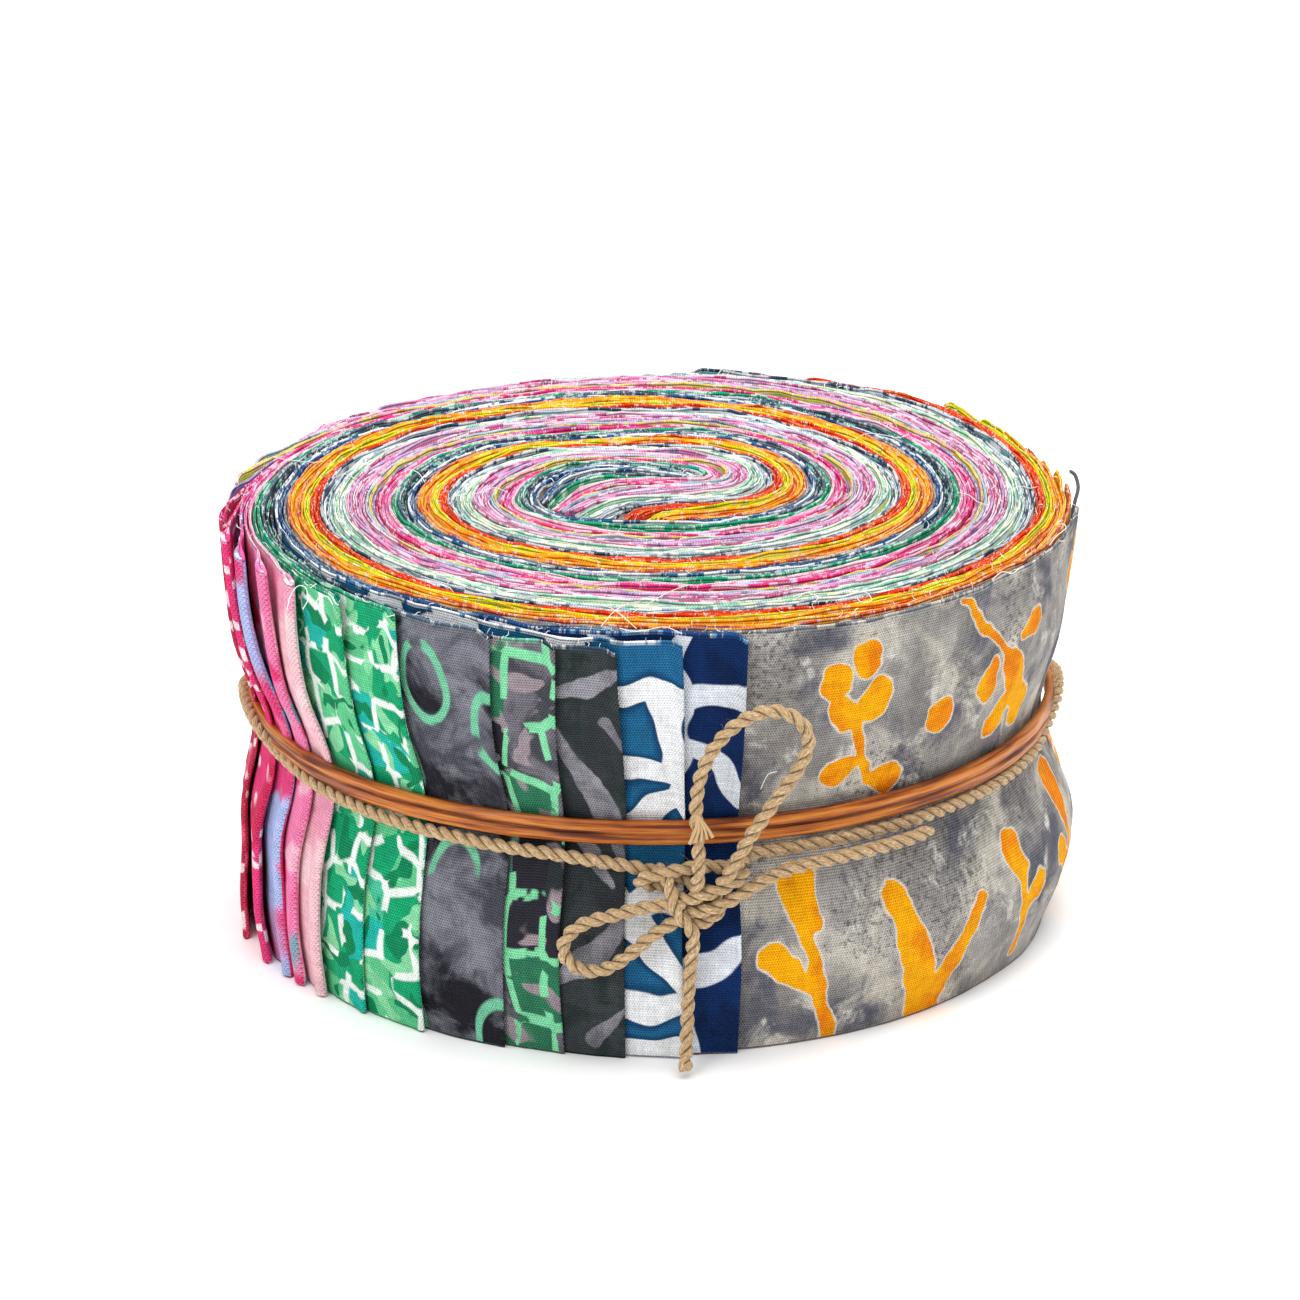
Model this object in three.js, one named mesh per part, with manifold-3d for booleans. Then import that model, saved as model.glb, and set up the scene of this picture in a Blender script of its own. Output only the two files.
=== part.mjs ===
// A jelly roll: forty strips of quilting cotton, each folded double, stacked and wound together into one
// roll. A rubber band and a two-ply twine, tied in a bow at the front, draw it in at the waist.
// Millimetres, +Z up. The origin is the middle of the flat underside, and the bow faces -Y.

import * as THREE from "three";
import { mergeVertices } from "three/addons/utils/BufferGeometryUtils.js";
import Module from "manifold-3d";

const wasm = await Module();
wasm.setup();

// The roll
const STRIP_WIDTH = 63.5; // cut width of each strip, and so the height of the roll
const ROLL_RADIUS = 62.8;
const EDGE_ROUND = 0.6; // how far the raw edges stand back at the top and the underside
const WAIST_DEPTH = 4.0;
const WAIST_Z = 32.0;
const WAIST_REACH = 12.0;
const WAIST_PRESS = 0.15; // share of a strip end's step that is left under the band
const SIDE_SWELL = 1.5; // the slack lower part on the right side
const SIDE_SWELL_Z = 10.0;
const SIDE_SWELL_REACH = 9.0;
const FLARE_FROM_Z = 44.0; // loose ends lean out above this height
const LEVELS = [0, 2.5, 10, 18, 24, 28.5, 32, 36, 42, 50, 57, 61.5, STRIP_WIDTH];
const TURN_GROOVE = 1.3; // width and depth of the line between two turns of the stack
const GROOVE_STEP_DEG = 11;
const CLEARANCE = 0.35; // gap between the knot and what comes out of it
const FINEST = 0.03; // shorter edges than this are closed up after a cut

// The outer ends of the strips in order round the roll, counter-clockwise seen from above, outermost
// strip first. first and step are degrees from +X, step_out is the height of the step at an end, and
// flare is how far the top of a loose end leans out.
const END_GROUPS = [
  { cloth: "orange", strips: 5, first: 4, step: 6, stepOut: 0.5, flare: 0.5 },
  { cloth: "lime", strips: 2, first: 36, step: 8, stepOut: 0.6, flare: 1.4 },
  { cloth: "red", strips: 3, first: 56, step: 12, stepOut: 0.6, flare: 0.8 },
  { cloth: "slate", strips: 3, first: 84, step: 4, stepOut: 0.6, flare: 0.5 },
  { cloth: "mint", strips: 5, first: 98, step: 7, stepOut: 0.5, flare: 0 },
  { cloth: "mauve", strips: 6, first: 132, step: 6, stepOut: 0.5, flare: 0.2 },
  { cloth: "teal", strips: 1, first: 168, step: 0, stepOut: 0.7, flare: 0.8 },
  { cloth: "yellow", strips: 1, first: 174, step: 0, stepOut: 0.8, flare: 0.8 },
  { cloth: "violet", strips: 1, first: 181, step: 0, stepOut: 1.4, flare: 0.8 },
  { cloth: "burgundy", strips: 1, first: 188, step: 0, stepOut: 2.0, flare: 0.4 },
  { cloth: "magenta", strips: 1, first: 197.5, step: 0, stepOut: 2.4, flare: 0 },
  { cloth: "periwinkle", strips: 1, first: 205, step: 0, stepOut: 2.2, flare: 0 },
  { cloth: "pink", strips: 1, first: 211.5, step: 0, stepOut: 2.0, flare: 0 },
  { cloth: "pale_pink", strips: 1, first: 218.5, step: 0, stepOut: 1.8, flare: 0 },
  { cloth: "green", strips: 2, first: 227, step: 9.3, stepOut: 1.1, flare: 0 },
  { cloth: "purple_grey", strips: 1, first: 249.6, step: 0, stepOut: 0.7, flare: 0 },
  { cloth: "grey_green", strips: 1, first: 257.8, step: 0, stepOut: 0.6, flare: 0 },
  { cloth: "charcoal", strips: 1, first: 266.1, step: 0, stepOut: 0.6, flare: 0 },
  { cloth: "white_blue", strips: 1, first: 274.1, step: 0, stepOut: 0.6, flare: 0.4 },
  { cloth: "blue_white", strips: 1, first: 282.1, step: 0, stepOut: 0.6, flare: 0 },
  { cloth: "grey_sprig", strips: 1, first: 356, step: 0, stepOut: 0.5, flare: 1.2 },
];
const PLEAT_FROM = 1.2; // ends with a step over this are soft rounded pleats

// The winding: distance of the inner face of the stack from the middle, from the fold at the core outwards
const WINDING = [
  { deg: 51, radius: 9.3 },
  { deg: 97, radius: 11.6 },
  { deg: 135, radius: 13.7 },
  { deg: 180, radius: 16.3 },
  { deg: 213, radius: 17.1 },
  { deg: 243, radius: 15.8 },
  { deg: 270, radius: 15.0 },
  { deg: 297, radius: 16.2 },
  { deg: 345, radius: 22.0 },
  { deg: 372, radius: 24.6 },
  { deg: 400, radius: 26.6 },
  { deg: 450, radius: 26.4 },
  { deg: 547, radius: 34.8 },
  { deg: 630, radius: 36.6 },
  { deg: 703, radius: 41.7 },
  { deg: 810, radius: 47.2 },
  { deg: 907, radius: 54.2 },
  { deg: 990, radius: 60.0 },
];

// The rubber band, a ring with one groove that makes two cords of its face
const BAND_Z = 33.5;
const BAND_INNER = 59.6;
const BAND_SECTION = [
  { out: 0, up: -1.7 },
  { out: 1.1, up: -1.95 },
  { out: 1.55, up: -1.1 },
  { out: 1.3, up: -0.35 },
  { out: 1.0, up: -0.1 },
  { out: 1.3, up: 0.15 },
  { out: 1.6, up: 1.0 },
  { out: 1.1, up: 1.95 },
  { out: 0, up: 1.7 },
];
const BAND_SEGMENTS = 64;

// The twine
const TWINE_RADIUS = 1.15;
const TWINE_LAY = 4.8; // length in which the two plies go once round each other
const TWIST_STEP = 0.62;
const PLY_SECTION = [
  { deg: 0, share: 1 },
  { deg: 52, share: 0.8 },
  { deg: 128, share: 0.8 },
  { deg: 180, share: 1 },
  { deg: 232, share: 0.8 },
  { deg: 308, share: 0.8 },
];
const RING_STEP = 4.6;
const KNOT_STEP = 1.6;
const RING_SIDES = 8;
// The ring's way round the waist, just under the band
const RING = [
  { deg: -76, z: 29.7 },
  { deg: -62, z: 30.1 },
  { deg: 0, z: 30.0 },
  { deg: 90, z: 29.9 },
  { deg: 150, z: 30.1 },
  { deg: 200, z: 30.3 },
  { deg: 243, z: 30.1 },
  { deg: 257, z: 29.6 },
  { deg: 264, z: 28.9 },
  { deg: 268.5, z: 28.2 },
];
const RING_POINT_DEG = 6;
const RING_SEAT = TWINE_RADIUS + 0.4;

// The knot's strands, as points down their middles
const KNOT_STRANDS = {
  elbow: [
    [3.4, -61.2, 25.8], [0.2, -61.6, 26.0], [-1.7, -62.4, 27.0], [0.4, -63.0, 28.0],
    [3.2, -63.2, 28.8], [5.3, -63.1, 29.2], [7.4, -62.6, 29.3], [9.5, -61.8, 28.8],
    [11.4, -61.2, 28.8], [13.2, -60.6, 29.6],
  ],
  wrap: [
    [0.8, -61.4, 28.6], [2.0, -62.8, 27.8], [2.7, -64.4, 26.6], [3.0, -65.1, 24.8],
    [3.8, -65.2, 22.9], [5.0, -65.0, 21.5], [5.6, -64.6, 20.6],
  ],
  upper_turn: [
    [3.4, -63.2, 24.7], [5.8, -64.6, 25.3], [8.5, -64.8, 26.3], [11.1, -64.2, 27.2],
    [12.8, -62.8, 28.0], [12.6, -61.2, 28.6],
  ],
  side_turn: [
    [4.4, -63.2, 22.8], [6.2, -64.2, 23.1], [8.5, -64.6, 23.7], [11.1, -64.2, 24.8],
    [13.6, -63.2, 26.0], [15.4, -62.4, 26.8],
  ],
  lower_turn: [[4.6, -63.0, 21.2], [6.6, -63.4, 21.0], [8.6, -63.0, 21.6], [9.8, -62.2, 23.0]],
  inner_turns: [[3.6, -61.6, 27.6], [7.0, -62.2, 25.6], [9.6, -61.8, 24.6], [6.6, -61.9, 22.6]],
};

// The two loops of the bow and the two free ends
const FREE_TWINE = {
  bow_loop_upper: [
    [6.3, -64.2, 26.6], [6.5, -65.6, 28.6], [6.6, -65.9, 31.1], [6.5, -65.6, 34.0],
    [6.2, -65.4, 38.1], [6.3, -65.2, 40.8], [6.9, -65.0, 44.0], [8.4, -64.9, 47.4],
    [11.0, -64.8, 50.6], [13.6, -64.7, 52.3], [16.2, -64.6, 53.1], [19.1, -64.4, 52.4],
    [21.2, -64.2, 50.3], [21.5, -64.2, 47.6], [20.1, -64.4, 44.3], [17.8, -64.6, 41.0],
    [15.8, -64.8, 37.9], [14.0, -65.0, 35.2], [12.3, -65.2, 32.1], [11.0, -65.4, 29.6],
    [9.8, -64.8, 27.6],
  ],
  bow_loop_lower: [
    [4.6, -64.6, 24.1], [1.4, -64.7, 24.3], [-0.6, -64.6, 23.9], [-2.8, -64.5, 23.4],
    [-4.8, -64.4, 22.7], [-7.4, -64.3, 22.0], [-9.8, -64.2, 21.0], [-11.5, -64.2, 19.5],
    [-12.3, -64.2, 17.5], [-11.5, -64.3, 15.5], [-9.6, -64.5, 14.4], [-7.4, -64.7, 14.3],
    [-5.3, -64.9, 15.2], [-3.4, -65.0, 16.6], [-1.4, -65.0, 18.4], [0.4, -65.0, 20.0],
    [2.6, -64.9, 21.4], [5.0, -64.6, 22.6],
  ],
  twine_end_front: [
    [5.2, -65.0, 21.2], [5.9, -65.0, 19.8], [5.7, -64.9, 17.0], [5.4, -64.9, 14.0],
    [5.2, -65.1, 11.0], [5.1, -65.5, 8.0], [5.0, -66.3, 5.0], [4.9, -67.6, 2.7], [4.8, -69.6, 1.5],
  ],
  twine_end_side: [
    [14.6, -62.6, 26.4], [17.0, -61.4, 27.3], [19.4, -60.4, 27.9], [22.6, -59.0, 28.2],
    [27.8, -56.6, 28.3], [32.2, -54.2, 28.3], [36.4, -51.5, 28.3], [39.9, -48.9, 28.4],
  ],
};

const point = ([x, y, z]) => new THREE.Vector3(x, y, z);
const radians = THREE.MathUtils.degToRad;

// One closed skin over a row of rings with the same number of points, with a fan over each end.
function skinOf(rings) {
  const count = rings[0].length;
  const corners = rings.flat();
  const faces = [];
  for (let i = 0; i < rings.length - 1; i++) {
    for (let j = 0; j < count; j++) {
      const a = i * count + j;
      const b = i * count + ((j + 1) % count);
      faces.push(a, b, b + count, a, b + count, a + count);
    }
  }
  const capOf = (ring, start, turned) => {
    const middle = ring.reduce((sum, p) => sum.add(p), new THREE.Vector3()).divideScalar(count);
    corners.push(middle);
    for (let j = 0; j < count; j++) {
      const pair = [start + j, start + ((j + 1) % count)];
      faces.push(corners.length - 1, ...(turned ? pair.reverse() : pair));
    }
  };
  capOf(rings[0], 0, true);
  capOf(rings.at(-1), (rings.length - 1) * count, false);
  const geometry = new THREE.BufferGeometry().setFromPoints(corners);
  geometry.setIndex(faces);
  return geometry;
}

function solidOf(geometry) {
  const bare = geometry.clone();
  bare.deleteAttribute("normal");
  bare.deleteAttribute("uv");
  const merged = mergeVertices(bare, 1e-4);
  const vertProperties = new Float32Array(merged.attributes.position.array);
  const triVerts = new Uint32Array(merged.index.array);
  return new wasm.Manifold(new wasm.Mesh({ numProp: 3, vertProperties, triVerts }));
}

function geometryOf(solid) {
  const { vertProperties, triVerts } = solid.getMesh();
  const geometry = new THREE.BufferGeometry();
  geometry.setAttribute("position", new THREE.BufferAttribute(new Float32Array(vertProperties), 3));
  geometry.setIndex(new THREE.BufferAttribute(new Uint32Array(triVerts), 1));
  geometry.computeVertexNormals();
  return geometry;
}

function largestOf(solid) {
  return solid.decompose().reduce((best, body) => (body.volume() > best.volume() ? body : best));
}

const clearOf = (solid, cutter) => largestOf(solid.subtract(cutter).simplify(FINEST));

// A value between the rows of a table, smoothly, by the angle in its deg column.
function along(rows, deg, column) {
  const last = rows.length - 1;
  const beyond = rows.findIndex((row) => row.deg > deg);
  const next = beyond === -1 ? last : Math.max(1, beyond);
  const [before, from, to, after] = [next - 2, next - 1, next, next + 1].map(
    (i) => rows[Math.max(0, Math.min(last, i))],
  );
  const span = to.deg - from.deg;
  const t = THREE.MathUtils.clamp((deg - from.deg) / span, 0, 1);
  const slopeFrom = ((to[column] - before[column]) / (to.deg - before.deg)) * span;
  const slopeTo = ((after[column] - from[column]) / (after.deg - from.deg)) * span;
  const [t2, t3] = [t * t, t * t * t];
  return (
    (2 * t3 - 3 * t2 + 1) * from[column] + (t3 - 2 * t2 + t) * slopeFrom +
    (3 * t2 - 2 * t3) * to[column] + (t3 - t2) * slopeTo
  );
}

const bump = (z, middle, reach) => Math.exp(-(((z - middle) / reach) ** 2));

// The side of the roll at a height, before the steps of the strip ends
const waistRadius = (z) => ROLL_RADIUS - WAIST_DEPTH * bump(z, WAIST_Z, WAIST_REACH);

// The wound roll: its side steps down at each strip's end, and its top has the line between the turns.
function makeRoll() {
  const ends = END_GROUPS.flatMap(({ strips, first, step, stepOut, flare }) =>
    Array.from({ length: strips }, (_, i) => ({ deg: first + i * step, stepOut, flare })),
  );
  const outline = [];
  let from = ends.at(-1).deg - 360;
  for (const { deg, stepOut, flare } of ends) {
    const pleat = stepOut > PLEAT_FROM;
    const shares = pleat ? [0.02, 0.18, 0.45, 0.75, 0.97] : [0.015, 0.5, 0.985];
    const spare = deg - from > 30 ? [0.12, 0.25, 0.38, 0.62, 0.75, 0.88] : [];
    for (const u of [...shares, ...spare].sort()) {
      const rise = pleat ? Math.sin(Math.PI * Math.min(u * 1.1, 0.85)) - 0.5 : u - 0.5;
      outline.push({ deg: from + u * (deg - from), rise: rise * stepOut, flare: flare * u ** 3 });
    }
    from = deg;
  }
  const rings = LEVELS.map((z) => {
    const edge = z === 0 || z === STRIP_WIDTH ? EDGE_ROUND : 0;
    const press = 1 - (1 - WAIST_PRESS) * bump(z, WAIST_Z, WAIST_REACH * 0.8);
    const lean = THREE.MathUtils.smoothstep(z, FLARE_FROM_Z, STRIP_WIDTH);
    return outline.map(({ deg, rise, flare }) => {
      const swell = SIDE_SWELL * bump(z, SIDE_SWELL_Z, SIDE_SWELL_REACH) * Math.max(0, Math.cos(radians(deg + 10)));
      const radius = waistRadius(z) + rise * press + flare * lean + swell - edge;
      return new THREE.Vector3(radius * Math.cos(radians(deg)), radius * Math.sin(radians(deg)), z);
    });
  });
  const groove = [];
  const last = WINDING.at(-1).deg;
  for (let deg = WINDING[0].deg; deg <= last; deg += GROOVE_STEP_DEG) {
    const radius = along(WINDING, deg, "radius");
    const side = TURN_GROOVE;
    groove.push(
      [[-side, side], [0, -side], [side, side]].map(([out, up]) => {
        const r = radius + out;
        return new THREE.Vector3(r * Math.cos(radians(deg)), r * Math.sin(radians(deg)), STRIP_WIDTH + up);
      }),
    );
  }
  return geometryOf(solidOf(skinOf(rings)).subtract(outward(solidOf(skinOf(groove)))));
}

// The same solid with its faces turned out, if they point in.
function outward(solid) {
  if (solid.volume() > 0) return solid;
  const { vertProperties, triVerts } = solid.getMesh();
  for (let i = 0; i < triVerts.length; i += 3) {
    [triVerts[i + 1], triVerts[i + 2]] = [triVerts[i + 2], triVerts[i + 1]];
  }
  return new wasm.Manifold(new wasm.Mesh({ numProp: 3, vertProperties, triVerts }));
}

function makeBand() {
  const profile = BAND_SECTION.map(({ out, up }) => new THREE.Vector2(BAND_INNER + out, BAND_Z + up));
  const ring = new THREE.LatheGeometry([...profile, profile[0]], BAND_SEGMENTS);
  ring.rotateX(Math.PI / 2);
  return geometryOf(outward(solidOf(ring)));
}

// Twine along a route. The section turns with the lay where twisted is set, and stays round if not.
function twineSolid(route, { twisted = true, step = TWIST_STEP, extra = 0 } = {}) {
  const curve = new THREE.CatmullRomCurve3(route, false, "centripetal");
  const length = curve.getLength();
  const steps = Math.ceil(length / step);
  const { normals, binormals } = curve.computeFrenetFrames(steps);
  const section = twisted
    ? PLY_SECTION
    : Array.from({ length: RING_SIDES }, (_, i) => ({ deg: (360 * i) / RING_SIDES, share: 1 }));
  const rings = Array.from({ length: steps + 1 }, (_, i) => {
    const middle = curve.getPointAt(i / steps);
    const turn = twisted ? (2 * Math.PI * length * i) / steps / TWINE_LAY : 0;
    return section.map(({ deg, share }) => {
      const angle = radians(deg) + turn;
      const radius = TWINE_RADIUS * share + extra;
      return middle.clone()
        .addScaledVector(normals[i], radius * Math.cos(angle))
        .addScaledVector(binormals[i], radius * Math.sin(angle));
    });
  });
  return outward(solidOf(skinOf(rings)));
}

function knotSolid(manner) {
  const strands = Object.values(KNOT_STRANDS).map((route) => twineSolid(route.map(point), manner));
  return largestOf(strands.reduce((all, strand) => all.add(strand)).simplify(FINEST));
}

// The ring's route, a point every few degrees so that it stays on the round of the waist.
function ringRoute() {
  const from = RING[0].deg;
  const span = RING.at(-1).deg - from;
  const steps = Math.round(span / RING_POINT_DEG);
  return Array.from({ length: steps + 1 }, (_, i) => {
    const deg = from + (span * i) / steps;
    const z = along(RING, deg, "z");
    const radius = waistRadius(z) + RING_SEAT;
    return new THREE.Vector3(radius * Math.cos(radians(deg)), radius * Math.sin(radians(deg)), z);
  });
}

const finishes = {
  cotton: new THREE.MeshStandardMaterial({ color: 0x9b9794, roughness: 0.95, metalness: 0 }),
  rubber: new THREE.MeshStandardMaterial({ color: 0xb5601f, roughness: 0.4, metalness: 0 }),
  twine: new THREE.MeshStandardMaterial({ color: 0xb59a6a, roughness: 0.85, metalness: 0 }),
};

const jellyRoll = new THREE.Group();

function place(name, geometry, material) {
  const mesh = new THREE.Mesh(geometry, material);
  mesh.name = name;
  jellyRoll.add(mesh);
}

place("fabric_roll", makeRoll(), finishes.cotton);
place("rubber_band", makeBand(), finishes.rubber);

const knot = knotSolid();
const roomForKnot = knotSolid({ twisted: false, step: KNOT_STEP, extra: CLEARANCE });
place("twine_knot", geometryOf(knot), finishes.twine);

const ring = twineSolid(ringRoute(), { twisted: false, step: RING_STEP });
place("twine_ring", geometryOf(clearOf(ring, roomForKnot)), finishes.twine);

for (const [name, route] of Object.entries(FREE_TWINE)) {
  const cord = twineSolid(route.map(point));
  place(name, geometryOf(clearOf(cord, roomForKnot)), finishes.twine);
}

export default jellyRoll;
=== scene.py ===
import math

import bpy
import numpy as np
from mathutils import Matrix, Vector


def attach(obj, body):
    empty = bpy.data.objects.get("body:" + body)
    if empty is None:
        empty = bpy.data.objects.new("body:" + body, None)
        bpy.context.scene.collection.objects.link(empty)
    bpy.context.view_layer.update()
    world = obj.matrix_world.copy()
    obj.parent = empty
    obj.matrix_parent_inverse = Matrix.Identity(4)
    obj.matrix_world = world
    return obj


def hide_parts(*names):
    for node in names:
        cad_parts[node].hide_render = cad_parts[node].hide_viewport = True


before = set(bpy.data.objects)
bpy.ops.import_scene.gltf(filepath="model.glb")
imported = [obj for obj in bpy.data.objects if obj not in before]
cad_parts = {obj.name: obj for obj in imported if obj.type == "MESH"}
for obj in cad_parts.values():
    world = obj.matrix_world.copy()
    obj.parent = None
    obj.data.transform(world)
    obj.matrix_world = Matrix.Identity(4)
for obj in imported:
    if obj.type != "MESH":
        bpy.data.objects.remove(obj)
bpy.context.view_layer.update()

# Camera. The photograph looks down on the roll by about twenty degrees, from its bow side.
CAMERA_RISE_DEG = 20.29
CAMERA_DISTANCE = 0.700
AIM_HEIGHT = 0.03812
PHOTO_WIDTH_PX = 1300
camera_data = bpy.data.cameras.new("camera")
camera_data.sensor_width = 36.0
camera_data.lens = 128.53
camera_data.shift_x = -1.0 / PHOTO_WIDTH_PX
camera = bpy.data.objects.new("camera", camera_data)
rise = math.radians(CAMERA_RISE_DEG)
camera.location = (0.0, -CAMERA_DISTANCE * math.cos(rise), AIM_HEIGHT + CAMERA_DISTANCE * math.sin(rise))
camera.rotation_euler = (math.pi / 2 - rise, 0.0, 0.0)
bpy.context.scene.collection.objects.link(camera)
bpy.context.scene.camera = camera


# Twine: two plies of plant fibre laid round each other, the plies slack enough for stray fibres to stand off.
# Its group of nodes lays both plies along any route, so the ring, the knot, the loops and the ends share it.
def add(tree, kind, feeds=None, **settings):
    """A node with its settings. feeds gives its inputs: values, or the nodes and sockets to link from."""
    node = tree.nodes.new(kind)
    for key, value in settings.items():
        setattr(node, key, value)
    for key, value in (feeds or {}).items():
        if isinstance(value, bpy.types.Node):
            value = value.outputs[0]
        if isinstance(value, bpy.types.NodeSocket):
            tree.links.new(value, node.inputs[key])
        else:
            node.inputs[key].default_value = value
    return node


def linear(code):
    """A hex colour as the eye sees it, as linear light."""
    parts = [int(code[i : i + 2], 16) / 255 for i in (1, 3, 5)]
    return tuple(c / 12.92 if c <= 0.04045 else ((c + 0.055) / 1.055) ** 2.4 for c in parts) + (1.0,)


def new_material(name):
    material = bpy.data.materials.new(name)
    material.use_nodes = True
    material.node_tree.nodes.clear()
    return material, material.node_tree


def mixed(tree, factor, below, above):
    """One colour laid over another by a factor."""
    return add(tree, "ShaderNodeMix", {0: factor, 6: below, 7: above}, data_type="RGBA").outputs[2]


def group_of(name, kind, inputs, outputs):
    """A new group of nodes and the node that gives its inputs. An input given as a number starts at it."""
    group = bpy.data.node_groups.new(name, kind)
    for way, sockets in (("INPUT", inputs), ("OUTPUT", outputs)):
        for socket, holds in sockets.items():
            is_number = isinstance(holds, float)
            socket_type = "NodeSocketFloat" if is_number else "NodeSocket" + holds
            made = group.interface.new_socket(socket, in_out=way, socket_type=socket_type)
            if is_number:
                made.default_value = holds
    return group, add(group, "NodeGroupInput")


def curled_fibre(name, rings, radius, taper, bow, sway, pace, height, droop):
    """A three-sided fibre that rises from the origin, thins out and curls over, for nodes to set."""
    points = []
    for i in range(rings):
        t = i / (rings - 1)
        for corner in (0.0, 2.094, 4.189):
            points.append((radius * (1 - taper * t) * math.cos(corner) + bow * t * t,
                           radius * math.sin(corner) + sway * math.sin(pace * t),
                           height * t * (1 - droop * t)))
    faces = [(3 * i + j, 3 * i + (j + 1) % 3, 3 * i + 3 + (j + 1) % 3, 3 * i + 3 + j)
             for i in range(rings - 1) for j in range(3)]
    last = 3 * (rings - 1)
    mesh = bpy.data.meshes.new(name)
    mesh.from_pydata(points, [], faces + [(2, 1, 0), (last, last + 1, last + 2)])
    return bpy.data.objects.new(name, mesh)


# Sisal-like fibre, dry and dull: straw streaks with light fibre ends, and painted shade from an occlusion
# pass that darkens the lines deep in the lay.
twine_material, tree = new_material("plant fibre twine")
fibre = add(tree, "ShaderNodeAttribute", attribute_name="fibre")
along_ply = add(tree, "ShaderNodeVectorMath", {0: fibre.outputs["Vector"], 1: (1.0, 1.0, 0.55)},
                operation="MULTIPLY")
streaks = add(tree, "ShaderNodeTexNoise",
              {"Vector": along_ply, "Scale": 4.2, "Detail": 5.0, "Roughness": 0.62})
slow_tone = add(tree, "ShaderNodeTexNoise", {"Vector": fibre.outputs["Vector"], "Scale": 0.35, "Detail": 2.0})
straw = add(tree, "ShaderNodeValToRGB", {"Fac": streaks.outputs["Fac"]})
straw.color_ramp.elements[0].position = 0.38
straw.color_ramp.elements[0].color = linear("#6a4720")
straw.color_ramp.elements[1].position = 0.62
straw.color_ramp.elements[1].color = linear("#fbe8c6")
middle_tone = straw.color_ramp.elements.new(0.5)
middle_tone.color = linear("#ccaa7e")
toned = mixed(tree, slow_tone.outputs["Fac"], straw.outputs[0], linear("#c29f70"))
# Painted shade: an occlusion pass darkens the fibre colour where the plies press together in the lay.
lay_occlusion_shade = add(tree, "ShaderNodeAmbientOcclusion", {"Distance": 0.0012}, samples=8, only_local=True)
painted_lay_shade = add(tree, "ShaderNodeMapRange", {0: lay_occlusion_shade.outputs["AO"], 1: 0.25, 2: 0.85, 3: 0.12, 4: 1.0})
shaded = add(tree, "ShaderNodeVectorMath", {0: toned, "Scale": painted_lay_shade}, operation="SCALE")
raised = add(tree, "ShaderNodeBump", {"Height": streaks.outputs["Fac"], "Strength": 0.8, "Distance": 0.0003})
straw_surface = add(tree, "ShaderNodeBsdfPrincipled",
                    {"Base Color": shaded, "Roughness": 0.78, "Normal": raised,
                     "Specular IOR Level": 0.3, "Sheen Weight": 0.15})
add(tree, "ShaderNodeOutputMaterial", {"Surface": straw_surface})

stray_fibre = curled_fibre("stray_fibre", 7, 0.00002, 0.6, 0.0007, 0.0003, 3, 0.0021, 0.25)
laid_twine, given = group_of("laid twine", "GeometryNodeTree",
                             {"Route": "Geometry", "Ply Radius": 0.00058, "Ply Offset": 0.00046,
                              "Lay": 0.0044, "Step": 0.0004, "Stray Fibres": 60000.0},
                             {"Twine": "Geometry"})
route = add(laid_twine, "GeometryNodeMeshToCurve", {"Mesh": given.outputs["Route"]})
route = add(laid_twine, "GeometryNodeResampleCurve", {"Curve": route, "Length": given.outputs["Step"]},
            mode="LENGTH")
distance = add(laid_twine, "GeometryNodeSplineParameter").outputs["Length"]
turns = add(laid_twine, "ShaderNodeMath", {0: distance, 1: given.outputs["Lay"]}, operation="DIVIDE")
tangent = add(laid_twine, "GeometryNodeInputTangent")
normal = add(laid_twine, "GeometryNodeInputNormal")
sideways = add(laid_twine, "ShaderNodeVectorMath", {0: tangent, 1: normal}, operation="CROSS_PRODUCT")
plies = add(laid_twine, "GeometryNodeJoinGeometry")
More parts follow.
